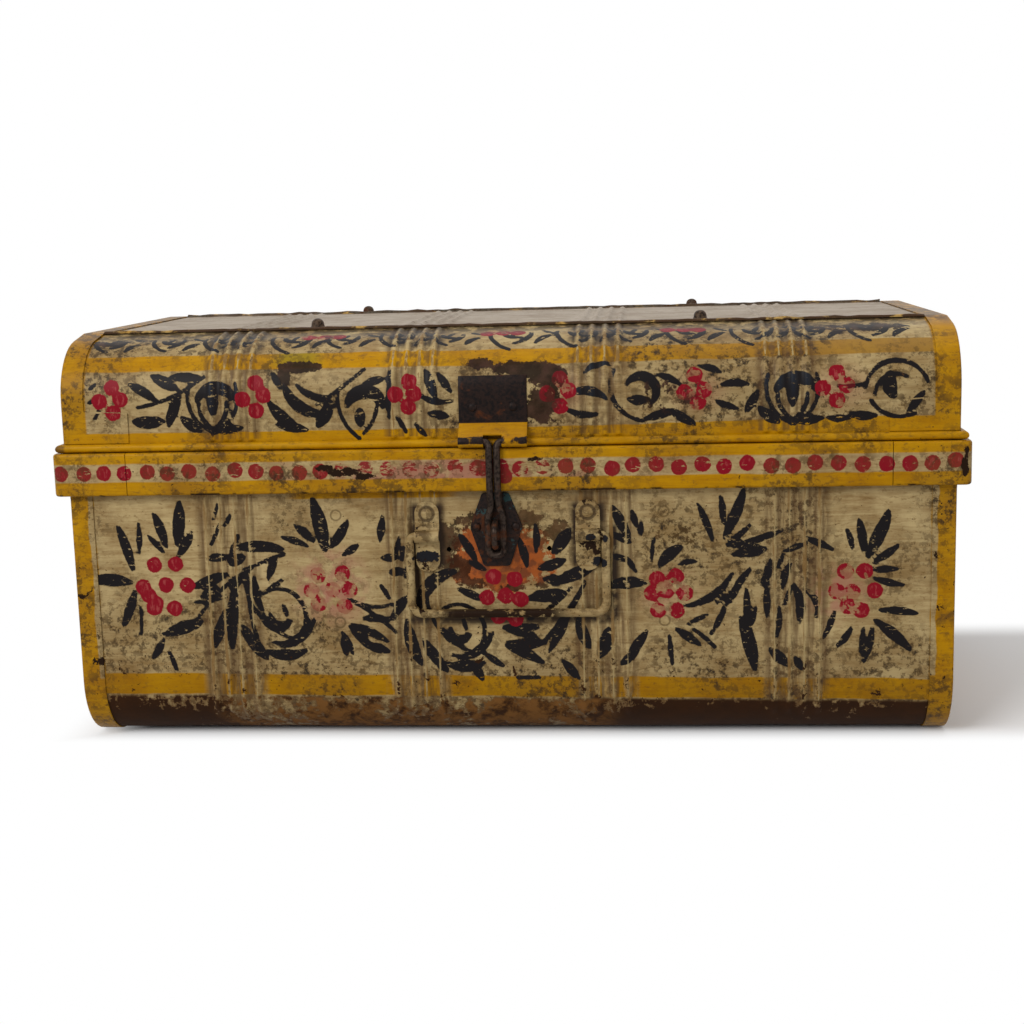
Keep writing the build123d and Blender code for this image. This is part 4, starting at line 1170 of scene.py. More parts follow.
# written like the branches
LID_LEAVES = [
    # the leafy stalk at the left
    (-205, 20, 8, 42, 1.8, 32), (-195, 24, 140, 17, 5.5, 15), (-182, 30, 152, 17, 6.5),
    (-169, 36, 172, 17, 5.5, 10), (-181, 26, 242, 18, 6, 10), (-208, 12, 352, 17, 7, 18),
    (-232, 31, 40, 4, 1.8), (-233, 23, 20, 5, 2.4), (-230, 14, 60, 5, 2.4),
    # the swirl and the bulb left of the hasp
    (-121, 31, 285, 30, 6.5, 78), (-130, 22, 300, 22, 6.5, 35), (-126, 9, 350, 17, 5.5),
    (-103, 8, 50, 16, 7, 20), (-114, 31, 308, 20, 4, 62), (-103, 20, 30, 33, 1.8, 12),
    (-128, 38, 300, 10, 4), (-86, 19, 75, 28, 8, -155), (-79, 17, 270, 9, 6),
    (-91, 27, 262, 30, 1.8, 62), (-69, 27, 278, 26, 1.8, -55), (-76, 31, 15, 11, 4.5),
    (-62, 38, 268, 26, 3), (-58, 12, 300, 9, 3),
    # leaves at the hasp
    (-42, 38, 290, 16, 5.5), (-35, 36, 305, 12, 4.5), (-46, 25, 320, 20, 3.5, 55), (-40, 14, 350, 10, 5),
    (-48, 8, 310, 8, 3.5),
    # swirls right of the hasp
    (39, 24, 20, 20, 5, -60), (62, 36, 245, 38, 2.6, 110), (69, 28, 62, 30, 5.5, -200),
    (80, 20, 195, 10, 5.5, -30), (79, 9, 15, 17, 5), (93, 13, 330, 15, 5), (46, 35, 45, 14, 3.5, -50),
    (36, 15, 330, 17, 4, 40), (120, 34, 150, 12, 4, 25), (118, 18, 330, 12, 4, 20),
    (121, 27, 15, 14, 4.5, -30), (86, 33, 350, 14, 4, -30), (134, 12, 60, 13, 5),
    # leaves and the bud at the right
    (178, 8, 350, 12, 4, 20), (190, 10, 345, 14, 5, 20), (184, 25, 352, 14, 2.4, 25),
    (198, 24, 82, 46, 3, -155), (203, 20, 88, 24, 2.4, -120), (212, 32, 242, 14, 7.5, 70),
    (201, 17, 300, 27, 2.4, 85), (229, 21, 232, 13, 4.5),
]
LID_STROKES = fruit(-162) + fruit(159) + [stroke(*leaf) for leaf in LID_LEAVES]
cup_chance = random.Random(4)
for k in range(CUP_COUNT):
    LID_STROKES += cup(CUP_START + k * CUP_PITCH + cup_chance.uniform(-4, 4), cup_chance.uniform(7, 10))
LID_BERRIES = sum((four_berries(x) for x in (-220, -138, -53, 32, 106, 182)), [])
LID_BERRIES += [(x + offset, 69) for x in (-104, -2, 99) for offset in (-7, 2, 10)]
print(len(LID_STROKES), "strokes and", len(LID_BERRIES), "berries on the lid")

# %% The row of dots on the collar, set out by eye
DOT_COUNT, DOT_START, DOT_PITCH, DOT_HEIGHT = 41, -250, 12.4, 159.5
HASP_SHADOW = (-13, 7)
dot_chance = random.Random(11)
COLLAR_DOTS = []
for k in range(DOT_COUNT):
    dot_x = DOT_START + k * DOT_PITCH + dot_chance.uniform(-0.9, 0.9)
    if not HASP_SHADOW[0] < dot_x < HASP_SHADOW[1]:
        COLLAR_DOTS.append((dot_x, DOT_HEIGHT + dot_chance.uniform(-1, 1)))
# behind the hasp the dots ran into one smear that dripped down
COLLAR_DOTS += [(-11, DOT_HEIGHT), (-6, DOT_HEIGHT + 1), (-1, DOT_HEIGHT + 1), (1, DOT_HEIGHT - 4.5)]
print(len(COLLAR_DOTS), "dots on the collar")


# %% Numbers that a material reads from the vertices
def mark(piece, name, values):
    """Stores one number per vertex under a name that a material can read."""
    layer = piece.data.attributes.new(name, "FLOAT", "POINT")
    layer.data.foreach_set("value", np.ascontiguousarray(values, dtype=np.float32))


def points_of(piece):
    """Every vertex of a piece, in millimetres."""
    found = np.zeros(len(piece.data.vertices) * 3, dtype=np.float32)
    piece.data.vertices.foreach_get("co", found)
    return (found.reshape(-1, 3) / MM).astype(float)


def beside_rib(x, ribs):
    """How far each x lies from the nearest rib."""
    return np.min(np.abs(x[:, None] - np.array(ribs)[None, :]), axis=1)


def crest(x, ribs):
    """1 on the crest of a rib, falling to 0 beside it."""
    return np.clip(1 - beside_rib(x, ribs) / 2.4, 0, 1)


def among(x, ribs):
    """1 within a group of ribs, 0 between the groups."""
    return np.clip(1.6 - beside_rib(x, ribs) / 4.2, 0, 1)


# %% [markdown]
# ## The two ends of the case
# Each end is a flat plate whose edge is turned over the wrapped sheet like the lid of a can. The
# grid starts on the free edge of that flange, runs over the folded corner and then closes in
# towards the middle of the plate, so one surface carries flange, fold and plate.

# %% A turned-over end panel
FOLD = 1.3
FLANGE_GAP = 0.1
RIM_SHARES = [0.03, 0.08, 0.14, 0.22, 0.3, 0.4, 0.5, 0.6, 0.7, 0.8, 0.9, 1.0]
CLOSEST_ROWS = 0.8


def end_panel(outline, side, end, centre_z, tab=0.0, tab_top=0.0, bulge=1.0):
    """Flange, folded corner and plate of an end; the outline is that of the flange's outer face.

    Below tab_top the flange reaches further over the sheet, by a tab of so many millimetres.
    """
    plan = Outline((end - FLANGE, 0), 0).run(FLANGE - FOLD).turn(FOLD, 90)
    start = plan.length

    def place(along_plan, distance):
        point, out = outline.at(distance)
        if along_plan <= start:
            flat, _ = plan.at(max(0.0, along_plan))
            x, inward = flat.x, flat.y
            if point.y < tab_top:
                x += tab * min(0.0, along_plan)
            lift = FLANGE_GAP - inward
            return (side * x, point.x + lift * out.x, max(0.0, point.y + lift * out.y))
        share = along_plan - start
        y, z = point.x - FOLD * out.x, point.y - FOLD * out.y
        y, z = y * (1 - share), z + (centre_z - z) * share
        sunk = 0.5 - noise.noise(Vector((y, z, side * 300)) / 60.0)
        return (side * (end - bulge * ramp(share, 0, 0.25) * 0.9 * sunk), y, z)

    across = plan.stops(4.5, 22) + [start + share for share in RIM_SHARES]
    rows = set(outline.stops(5.0, 8))
    if tab:
        across = even(-1, -PAINT_STEP / tab, PAINT_STEP / tab) + across
        rows |= {row for row in even(0, outline.length, 1.0) if outline.at(row)[0].y < tab_top + 0.7}
    spaced = []
    for row in sorted(rows):
        if not spaced or row - spaced[-1] > CLOSEST_ROWS:
            spaced.append(row)
    spaced[-1] = outline.length
    return laid_grid(across, spaced, place, flip=side > 0)


def flat_wall(side, x, half, bottom, top, wide, tall):
    """A flat upright sheet across an end, in faces of about wide by tall."""
    across, up = even(-half, half, wide), even(bottom, top, tall)
    return laid_grid(across, up, lambda y, z: (side * x, y, z), flip=side < 0)


def case_end(side):
    panel = end_panel(case_outline(SHEET, RIB_END), side, CASE_END, RIB_END)
    return join([panel, flat_wall(side, CASE_END, CASE_WALL - 0.05, RIB_END - 2, CASE_TOP, 12, 6)])


# %% [markdown]
# ## The collar
# A hollow band of tin runs round the top of the case. The closed lid stands on it, and it keeps
# rain out of the joint. It is made in four lengths: front, back, and two ends that turn round the
# corners. The open joints between them are real gaps, so they show as dark lines.

# %% Lengths of the collar
COLLAR_EDGE = 1.5
COLLAR_CORNER = 4.0
COLLAR_REACH = COLLAR_END - CASE_END
COLLAR_HEIGHT = COLLAR_TOP - COLLAR_LOW
COLLAR_JOINT = 0.4       # the open joint between two lengths


def collar_length(plan_point, distances, flip=False, phase=0.0):
    """A length of the band; plan_point gives the place at so far along it and so deep into it."""
    section = (Outline((COLLAR_REACH, COLLAR_TOP), 180).run(COLLAR_REACH - COLLAR_EDGE).turn(COLLAR_EDGE, 90)
               .run(COLLAR_HEIGHT - 2 * COLLAR_EDGE).turn(COLLAR_EDGE, 90).run(COLLAR_REACH - COLLAR_EDGE))

    def place(travelled, distance):
        depth, out = section.at(distance)
        swell = 0.3 * dent(travelled, phase, depth.y) * ramp(-out.x, 0.3, 1.0)
        return plan_point(travelled, max(0.02, depth.x - swell)) + (depth.y,)

    return laid_grid(distances, section.stops(1.5, 30), place, flip)


def collar_strip(side):
    def plan(x, depth):
        return (x, side * (COLLAR_WALL - depth))

    step = 1.6 if side < 0 else 6
    return collar_length(plan, even(-COLLAR_LAP, COLLAR_LAP, step), flip=side < 0, phase=side * 50)


def collar_end(side):
    """An end length: deeper than its corners are round, it turns round them with a mitre."""
    start = COLLAR_LAP + COLLAR_JOINT
    straight = COLLAR_END - start - COLLAR_CORNER
    path = (Outline((start, -COLLAR_WALL), 0).run(straight).turn(COLLAR_CORNER, 90)
            .run(2 * (COLLAR_WALL - COLLAR_CORNER)).turn(COLLAR_CORNER, 90).run(straight))

    def plan(travelled, depth):
        point, out = path.at(travelled)
        inset = max(COLLAR_CORNER, depth)
        limit = COLLAR_WALL - inset
        core = Vector((min(point.x, COLLAR_END - inset), max(-limit, min(limit, point.y))))
        spot = core + out * (inset - depth)
        return (side * spot.x, spot.y)

    return collar_length(plan, path.stops(1.8, 15), flip=side > 0, phase=side * 90)

# %% [markdown]
# ## The lid
# The lid is five sheets: two ribbed shoulders, a ribbed top, and two ends turned over them. The
# shoulders meet the top in standing seams, where the top is folded up, over and down. The lower
# edge of the lid is rolled round a wire, which makes it stiff and safe to touch.

# %% Shoulders and top
FOLD_END = LID_END - FLANGE - 0.4
FOLD_COLUMNS = [side * (FOLD_END + offset) for side in (-1, 1) for offset in (0, 0.05)]
SEAM_HEIGHT = 2.0
SEAM_COVER = 2.1
SEAM_UPTURN = 1.3
SLOPE_RUN = (CROWN[0] - SEAM_Y) / math.cos(SLOPE)


def shoulder_outline():
    """From the edge that stands up in the seam, down the slope and the wall to the rolled edge."""
    slope, crease = math.degrees(SLOPE), 0.3
    return (Outline((-SEAM_Y, TOP_Z + SEAM_UPTURN), -90).run(SEAM_UPTURN - 0.05).turn(crease, slope - 90)
            .run(SLOPE_RUN - crease).turn(SHOULDER, 90 - slope).run(SPRING_Z - BEAD_Z))


def shoulder_sheet(side):
    outline = shoulder_outline()
    bead_top = BEAD_Z + BEAD + 0.3

    def place(x, distance):
        point, out = outline.at(distance)
        y, z = point.x, point.y
        rib = ramp(-y, SEAM_Y + 2.2, SEAM_Y + 3.6) * ramp(z, bead_top - 0.3, bead_top + 1.2)
        free = ramp(LID_END - abs(x), 14, 45) * ramp(z, bead_top, bead_top + 12)
        free *= ramp(-y, SEAM_Y + 2, SEAM_Y + 14)
        lift = rib * rib_height(x, LID_RIBS) + free * dent(x, -side * y, z, 0.6)
        if abs(x) > FOLD_END and z > TOP_Z:
            z = TOP_Z
        return (x, -side * (y + lift * out.x), z + lift * out.y)

    step = LID_STEP if side < 0 else 4.0
    above_bead = {outline.length - above for above in (1.0, BEAD + 0.2, BEAD + 1.4)}
    rows = sorted(set(outline.stops(step, step * 1.5)) | above_bead)
    return laid_grid(rib_columns(LID_RIBS, LID_END - SHEET, FOLD_COLUMNS, step), rows, place, flip=side < 0)


def bead(side_place, half, flip=False):
    """Rolled edge as a tube whose ends are mitred: its outer line is longer than its inner one."""
    turn = even(0, 2 * math.pi, math.pi / 10)

    def place(x, angle):
        out, up = math.cos(angle) * BEAD, math.sin(angle) * BEAD
        wander = 0.12 * noise.noise(Vector((x, half, 5)) / 30.0)
        return side_place(x * (half + out) / half, out + wander * ramp(half - abs(x), 0, 20), BEAD_Z + up)

    return laid_grid(even(-half, half, 6), turn, place, flip)


def lid_shoulder(side):
    roll = bead(lambda x, out, z: (x, side * (BEAD_Y + out), z), BEAD_X, flip=side > 0)
    return join([shoulder_sheet(side), roll])


def top_outline():
    """From the lip of the back seam, over the fold, across the panel and over the front seam."""
    fold, lip_above = 0.6, 0.4
    lip, cover, rise = SEAM_HEIGHT - lip_above - fold, SEAM_COVER - 2 * fold, SEAM_HEIGHT - 2 * fold
    return (Outline((SEAM_Y + SEAM_COVER - SHEET, TOP_Z + lip_above), 90).run(lip).turn(fold, 90).run(cover)
            .turn(fold, 90).run(rise).turn(fold, -90).run(2 * (SEAM_Y - SHEET - fold)).turn(fold, -90)
            .run(rise).turn(fold, 90).run(cover).turn(fold, 90).run(lip))


def lid_top():
    outline = top_outline()

    def place(x, distance):
        y, z = outline.at(distance)[0]
        inside = ramp(SEAM_Y - SHEET - abs(y), 0.8, 3)
        free = ramp(LID_END - abs(x), 14, 45) * ramp(SEAM_Y - abs(y), 3, 20)
        lift = inside * (rib_height(x, LID_RIBS) + free * dent(x, y, z, 0.9))
        seam = 1 - inside
        z += seam * 0.45 * max(0.0, z - TOP_Z) * (noise.noise(Vector((x, y, 0)) / 9.0) - 0.35)
        y += seam * 0.5 * noise.noise(Vector((x, y * 0.1, 40)) / 16.0)
        if abs(x) > FOLD_END:
            y, z = max(-SEAM_Y, min(SEAM_Y, y)), min(z, TOP_Z)
        return (x, y, z + lift)

    columns = rib_columns(LID_RIBS, LID_END - SHEET, FOLD_COLUMNS)
    return laid_grid(columns, outline.stops(6.0, 30), place, flip=True)


# %% Ends of the lid
LID_PLATE_LOW = BEAD_Z + BEAD + 0.35
LID_TAB, LID_TAB_TOP = 25.0, LID_PLATE_LOW + 17.0


def lid_end_outline():
    """Whole section of the lid over both shoulders, for the outer face of the end flange."""
    slope, crease = math.degrees(SLOPE), 0.5
    wall, radius = SPRING_Z - LID_PLATE_LOW, SHOULDER + SHEET
    return (Outline((LID_WALL + SHEET, LID_PLATE_LOW), 90).run(wall).turn(radius, 90 - slope)
            .run(SLOPE_RUN).turn(crease, slope).run(2 * SEAM_Y - 0.1).turn(crease, slope).run(SLOPE_RUN)
            .turn(radius, 90 - slope).run(wall))


def lid_end(side):
    panel = end_panel(lid_end_outline(), side, LID_END, LID_PLATE_LOW, LID_TAB, LID_TAB_TOP, bulge=1.2)
    wall = flat_wall(side, LID_END - 0.05, LID_WALL - SHEET, BEAD_Z, LID_PLATE_LOW + 0.5, 10, 2)
    roll = bead(lambda y, out, z: (side * (BEAD_X + out), y, z), BEAD_Y, flip=side < 0)
    return join([panel, wall, roll])

# %% The sheets in place
SIDES, FACES = ((-1, "left"), (1, "right")), ((-1, "front"), (1, "back"))
case_wrap = finish_piece("case_wrap", "case", case_sheet(), [case_paint, bare_tin],
                         "case_shell", SHEET)
collars, shoulders = [], []
for side, where in SIDES:
    finish_piece("case_end_panel_" + where, "case", case_end(side), [end_paint, bare_tin],
                 "case_end_" + where, SHEET)
    collars.append(finish_piece("collar_return_" + where, "case", collar_end(side), [collar_paint],
                                "collar_end_" + where, SHEET))
    shoulders.append(finish_piece("lid_end_panel_" + where, "lid", lid_end(side), [lid_paint, bare_tin],
                                  "lid_end_" + where, SHEET))
for side, where in FACES:
    collars.append(finish_piece("collar_strip_" + where, "case", collar_strip(side), [collar_paint],
                                "collar_" + where, SHEET))
    shoulders.append(finish_piece("lid_sheet_" + where, "lid", lid_shoulder(side), [lid_paint, bare_tin],
                                  "lid_%s_shoulder" % where, SHEET))
lid_top_sheet = finish_piece("lid_top_sheet", "lid", lid_top(), [top_paint, bare_tin],
                             "lid_top_panel", SHEET)

# %% [markdown]
# ## Putting the ornament and the stains on the sheets
# The sheets now know where their points are, so each point can be told how far it is from a
# stroke. Stains are soft clouds: brown round the hasp where the paint burnt, orange round the
# staple, and pink where red paint was wiped over the cream.

# %% Clouds of stain and smear, as (middle x, middle height, half width, half height, strength)
CASE_STAINS = {
    "orange_stain": [(-3, 108, 22, 15, 1)],
    "brown_stain": [(0, 129, 30, 7, 0.8), (-33, 118, 9, 13, 1), (31, 122, 9, 9, 0.8), (-28, 103, 10, 7, 0.9),
                    (10, 91, 16, 3, 0.75), (-18, 92, 10, 4, 0.75), (96, 119, 17, 9, 0.6)],
    "pink_smear": [(-101, 92, 17, 17, 1), (183, 86, 15, 13, 0.8), (91, 87, 13, 12, 0.5)],
}
COLLAR_STAINS = {
    "brown_stain": [(-98, 161, 8, 1.8, 0.8), (-88, 158.5, 10, 2.4, 0.9), (-77, 156, 7, 1.8, 0.8),
                    (20, 164, 6, 1.6, 0.7), (251, 160, 2, 8, 1)],
}
LID_STAINS = {
    "brown_stain": [(12, 38, 17, 5, 1), (26, 32, 11, 8, 0.9), (22, 18, 9, 12, 0.85), (24, 9, 11, 3, 0.7),
                    (-11, 41, 7, 4, 1), (-114, 41, 12, 3.5, 1), (-121, 36, 4, 5, 0.9), (-225, 66, 12, 7, 0.7),
                    (195, 67, 26, 7, 0.8), (88, 22, 26, 9, 0.45)],
    "pink_smear": [(-104, 68, 10, 4, 0.6), (-2, 72, 10, 3, 0.6), (99, 72, 10, 3, 0.6), (34, 24, 9, 9, 0.5),
                   (108, 24, 12, 9, 0.6), (186, 25, 12, 9, 0.5)],
}


def mark_stains(piece, x, h, front, stains):
    """Each stain as a number: 1 in the middle of a cloud, fading out towards its rim."""
    for name, clouds in stains.items():
        total = np.zeros(len(x))
        for middle_x, middle_h, wide, tall, strength in clouds:
            away = np.hypot((x - middle_x) / wide, (h - middle_h) / tall)
            total = np.maximum(total, strength * np.clip(1.6 - away, 0, 1))
        mark(piece, name, front * total)


def mark_paint(piece, x, h, front, strokes, berries, radius):
    """How far each vertex lies from the black strokes and from the red dabs."""
    mark(piece, "black_paint", np.where(front, stroke_distance(x, h, strokes), FAR))
    mark(piece, "red_paint", np.where(front, dab_distance(x, h, berries, radius), FAR))


def sheet_height(y, z):
    """Height taken up the lid's sheet from its rolled edge."""
    up = SPRING_Z - BEAD_Z - BEAD - 0.3
    angle = np.arctan2(z - SPRING_Z, np.abs(y) - SHOULDER_Y)
    arc = up + SHOULDER * np.clip(angle, 0, math.pi / 2 - SLOPE)
    on_slope = np.maximum(0, CROWN[0] - np.abs(y)) / math.cos(SLOPE)
    return np.where(z <= SPRING_Z, z - (SPRING_Z - up), arc + on_slope)


# %% Painted shadow of the bail on the case, and along the edges of its brackets
# Lines of painted shadow: beside the bail's legs, under its bar, and along both edges of each bracket.
def bail_shadow_strokes():
    bail_low, bail_high = low("handle_bail"), high("handle_bail")
    leg = bail_high.z - bail_low.z
    lines = [stroke(x, bail_high.z, 270, leg, 3) for x in (bail_low.x + 5, bail_high.x + 2)]
    lines.append(stroke(bail_low.x + 3, bail_low.z - 2, 0, bail_high.x - bail_low.x - 3, 3))
    for _, where in SIDES:
        plate_low, plate_high = low("handle_bracket_" + where), high("handle_bracket_" + where)
        lines += [stroke(x, plate_high.z - 4, 270, plate_high.z - plate_low.z - 8, 1.6)
                  for x in (plate_low.x, plate_high.x)]
    return lines


# %% Numbers on the sheets
x, y, z = points_of(case_wrap).T
front = y < -CASE_WALL + CASE_BEND
mark_paint(case_wrap, x, z, front, FRONT_STROKES, FRONT_BERRIES, 4.6)
mark_stains(case_wrap, x, z, front, CASE_STAINS)
# painted shadow along the bail and the brackets, one number per vertex
mark(case_wrap, "bail_shadow_line", front * np.clip(1 - stroke_distance(x, z, bail_shadow_strokes()) / 2.5, 0, 1))
mark(case_wrap, "crest", crest(x, CASE_RIBS))
mark(case_wrap, "among", among(x, CASE_RIBS))
for piece in collars:
    x, y, z = points_of(piece).T
    front = y < -COLLAR_WALL + 2
    mark(piece, "red_paint", np.where(front, dab_distance(x, z, COLLAR_DOTS, 4.4), FAR))
    mark_stains(piece, x, z, front, COLLAR_STAINS)
    mark(piece, "striped", np.ones(len(x)))
for piece in shoulders:
    x, y, z = points_of(piece).T
    height, front = sheet_height(y, z), y < 0
    mark_paint(piece, x, height, front, LID_STROKES, LID_BERRIES, 4.5)
    mark_stains(piece, x, height, front, LID_STAINS)
    mark(piece, "lid_height", height)
    mark(piece, "crest", (height > 1.0) * crest(x, LID_RIBS))
    mark(piece, "among", (height > 1.0) * among(x, LID_RIBS))
mark(lid_top_sheet, "crest", crest(points_of(lid_top_sheet)[:, 0], LID_RIBS))
print("numbers on the case:", [layer.name for layer in case_wrap.data.attributes][-8:])

# %% Finishes of the solids that stay as they are
for node_name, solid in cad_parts.items():
    if node_name.startswith("hinge_") or node_name == "lid_edge_wire":
        metal = edge_steel if node_name == "lid_edge_wire" else hinge_steel
        if not solid.data.materials:
            solid.data.materials.append(metal)
        for slot in solid.material_slots:
            slot.material = metal
        print(node_name, "gets", metal.name)

# %% [markdown]
# ## Bent wires
# The hasp, the staple and the bail are wires bent in a jig. A wire is made the same way here: a
# circle is pushed along a straight run by extruding it, and turned through a bend by spinning it
# round the bend's own centre. The wire then keeps its true thickness everywhere.

# %% Wire through corner points
def only(kind, items):
    return [item for item in items if isinstance(item, kind)]


def ring_at(work, middle, direction, radius, sides):
    """A loose circle of edges round a direction."""
    turn = Vector((0, 0, 1)).rotation_difference(direction).to_matrix().to_4x4()
    matrix = Matrix.Translation(middle) @ turn
    made = bmesh.ops.create_circle(work, segments=sides, radius=radius, matrix=matrix)
    return [edge for edge in work.edges if all(vert in made["verts"] for vert in edge.verts)]


def bent_wire(corners, bends, radius, sides=18):
    """A wire through corners given in millimetres, each inner corner with its own bend radius."""
    work = bmesh.new()
    corners = [Vector(corner) for corner in corners]
    heading = (corners[1] - corners[0]).normalized()
    edges = ring_at(work, corners[0], heading, radius, sides)
    bmesh.ops.edgeloop_fill(work, edges=edges)
    place = corners[0]
    for corner, after, bend in zip(corners[1:], corners[2:] + [None], list(bends) + [0.0]):
        turn = (after - corner).normalized() if after else heading
        angle = heading.angle(turn)
        setback = bend * math.tan(angle / 2)
        target = corner - heading * setback
        moved = bmesh.ops.extrude_edge_only(work, edges=edges)["geom"]
        verts = only(bmesh.types.BMVert, moved)
        bmesh.ops.translate(work, verts=verts, vec=target - place)
        edges = [edge for edge in only(bmesh.types.BMEdge, moved)
                 if all(vert in verts for vert in edge.verts)]
        place = target
        if angle > 0.01 and after:
            axis = heading.cross(turn).normalized()
            centre = target + axis.cross(heading) * bend
            steps = max(3, math.ceil(math.degrees(angle) / 12))
            spun = bmesh.ops.spin(work, geom=edges + verts, cent=centre, axis=axis, angle=angle,
                                  steps=steps, dvec=(0, 0, 0), use_merge=False, use_duplicate=False)
            edges = only(bmesh.types.BMEdge, spun["geom_last"])
            place = corner + turn * setback
            heading = turn
    bmesh.ops.edgeloop_fill(work, edges=edges)
    bmesh.ops.remove_doubles(work, verts=work.verts, dist=0.002)
    bmesh.ops.recalc_face_normals(work, faces=work.faces)
    return work


# %% Hasp wire
HASP_X = (low("hasp_plate").x + high("hasp_plate").x) / 2
KNUCKLE = 3.18                       # outer radius of the rolled knuckles
KNUCKLE_Y = -(BEAD_Y + BEAD + 0.3 + KNUCKLE)
KNUCKLE_Z = low("hasp_plate").z + KNUCKLE
HASP_WIRE, STAPLE_WIRE, BAIL_WIRE = 2.0, 1.7, 2.4
ARM_Y = low("hasp_loop").y + HASP_WIRE
EYE_Y = high("hasp_loop").y - HASP_WIRE
EYE_LOW = low("hasp_loop").z + HASP_WIRE


def hasp_wire():
    """Out of one knuckle, down, round the eye, up and into the other knuckle."""
    arm, eye, end = 2.15, 4.25, high("hasp_loop").x - HASP_X
    eye_top = EYE_LOW + 21.8
    half = [(end, KNUCKLE_Y, KNUCKLE_Z), (arm, KNUCKLE_Y, KNUCKLE_Z), (arm, ARM_Y, COLLAR_TOP - 2),
            (arm, ARM_Y, COLLAR_LOW + 2), (arm, EYE_Y, eye_top + 6), (eye, EYE_Y, eye_top),
            (eye, EYE_Y, EYE_LOW)]
    points = [(HASP_X - x, y, z) for x, y, z in half] + [(HASP_X + x, y, z) for x, y, z in reversed(half)]
    bends = [3.2, 6, 6, 6, 6, 3.9]
    return bent_wire(points, bends + bends[::-1], HASP_WIRE)


# %% Staple and bail
def staple_wire():
    x, middle = (low("staple").x + high("staple").x) / 2, (low("staple").z + high("staple").z) / 2
    outer, inner, span = low("staple").y + STAPLE_WIRE, high("staple").y, 6.4
    corners = [(inner, -span), (outer, -span), (outer, span), (inner, span)]
    return bent_wire([(x, y, middle + up) for y, up in corners], [5.2, 5.2], STAPLE_WIRE, 16)


BAIL_X = (low("handle_bail").x + high("handle_bail").x) / 2
BAIL_Y, BAIL_PIVOT = low("handle_bail").y + BAIL_WIRE, high("handle_bail").z - BAIL_WIRE


def bail_wire():
    leg, bottom = high("handle_bail").x - BAIL_X - BAIL_WIRE, low("handle_bail").z + BAIL_WIRE
    end = leg - 16.1
    corners = [(-end, BAIL_PIVOT), (-leg, BAIL_PIVOT), (-leg, bottom), (leg, bottom), (leg, BAIL_PIVOT),
               (end, BAIL_PIVOT)]
    return bent_wire([(BAIL_X + x, BAIL_Y, z) for x, z in corners], [3.2, 6.5, 6.5, 3.2], BAIL_WIRE)


# %% [markdown]
# ## Plates and straps
# The hasp's plate follows the lid's wall and shoulder, leaves the wall at a bend and rolls round
# the ends of the wire in two knuckles. It is laid on its own bending line, and the faces of the
# slot between the knuckles are taken out before the wall gets its thickness.

# %% Hasp plate
PLATE = 1.1
PLATE_BEND = BEAD_Z + 10.15
PLATE_HALF = (high("hasp_plate").x - low("hasp_plate").x) / 2
SLOT_HALF, SLOT_TOP = 5.1, PLATE_BEND - 4.9


def plate_outline():
    """Down the shoulder and the wall, out along the slanting foot, and round the knuckle."""
    radius, top = SHOULDER + PLATE, high("hasp_plate").z
    start = math.asin((top - SPRING_Z) / radius)
    reach = Vector((KNUCKLE_Y + LID_WALL + PLATE, KNUCKLE_Z - PLATE_BEND))
    tilt = math.atan2(reach.y, reach.x) - math.asin(KNUCKLE / reach.length)
    crank, soft = -90 - math.degrees(tilt), 2.0
    spare = soft * math.tan(math.radians(crank / 2))
    strap = math.sqrt(reach.length ** 2 - KNUCKLE ** 2)
    point = (-SHOULDER_Y - radius * math.cos(start), top)
    return (Outline(point, -90 - math.degrees(start)).turn(radius, math.degrees(start))
            .run(SPRING_Z - PLATE_BEND - spare).turn(soft, -crank).run(strap - spare).turn(KNUCKLE, 312))


def hasp_plate():
    outline = plate_outline()

    def place(x, distance):
        point, out = outline.at(distance)
        sag = 0.35 * noise.noise(Vector((x, point.x, point.y)) / 14.0)
        sag = min(0.0, sag * ramp(outline.length - distance, 14, 22) - 0.1)
        return (HASP_X + x, point.x + sag * out.x, point.y + sag * out.y)

    columns = sorted(set(even(-PLATE_HALF, -SLOT_HALF, 2.4)) | set(even(-SLOT_HALF, SLOT_HALF, 2.1))
                     | set(even(SLOT_HALF, PLATE_HALF, 2.4)))
    rows = outline.stops(2.4, 15)
    work = laid_grid(columns, rows, place, flip=True)
    slot_start = min(row for row in rows if outline.at(row)[0].y <= SLOT_TOP + 1.0)
    slot_y, slot_z = outline.at(slot_start)[0]
    middles = [(face, face.calc_center_median()) for face in work.faces]
    gone = [face for face, middle in middles
            if abs(middle.x - HASP_X) < SLOT_HALF and middle.z < slot_z and middle.y < slot_y + 8]
    bmesh.ops.delete(work, geom=gone, context="FACES")
    return work


# %% Staple plate, brackets
def six_sided_plate():
    """A six-sided plate, its corners worn round."""
    plate_low, plate_high = low("staple_plate"), high("staple_plate")
    half, end_half, tall = (plate_high.x - plate_low.x) / 2, 7.5, (plate_high.z - plate_low.z) / 2
    work = bmesh.new()
    upright = Matrix.Rotation(math.pi / 2, 4, "X") @ Matrix.Rotation(math.pi / 2, 4, "Z")
    bmesh.ops.create_circle(work, cap_ends=True, segments=6, radius=1, matrix=upright)
    for vert in work.verts:
        if abs(vert.co.x) > 0.9:
            vert.co = Vector((math.copysign(half, vert.co.x), 0, 1.5))
        else:
            vert.co = Vector((math.copysign(end_half, vert.co.x), 0, math.copysign(tall, vert.co.z)))
    bmesh.ops.bevel(work, geom=list(work.verts), offset=1.6, segments=3, profile=0.5,
                    affect="VERTICES", material=-1)
    for inset in (0.5, 3.0):
        largest = max(work.faces, key=lambda face: face.calc_area())
        bmesh.ops.inset_region(work, faces=[largest], thickness=inset, depth=0)
    bmesh.ops.translate(work, verts=work.verts, vec=(HASP_X, plate_low.y, (plate_low.z + plate_high.z) / 2))
    bmesh.ops.recalc_face_normals(work, faces=work.faces)
    if sum((face.normal * face.calc_area() for face in work.faces), Vector()).y > 0:
        bmesh.ops.reverse_faces(work, faces=work.faces)
    return work


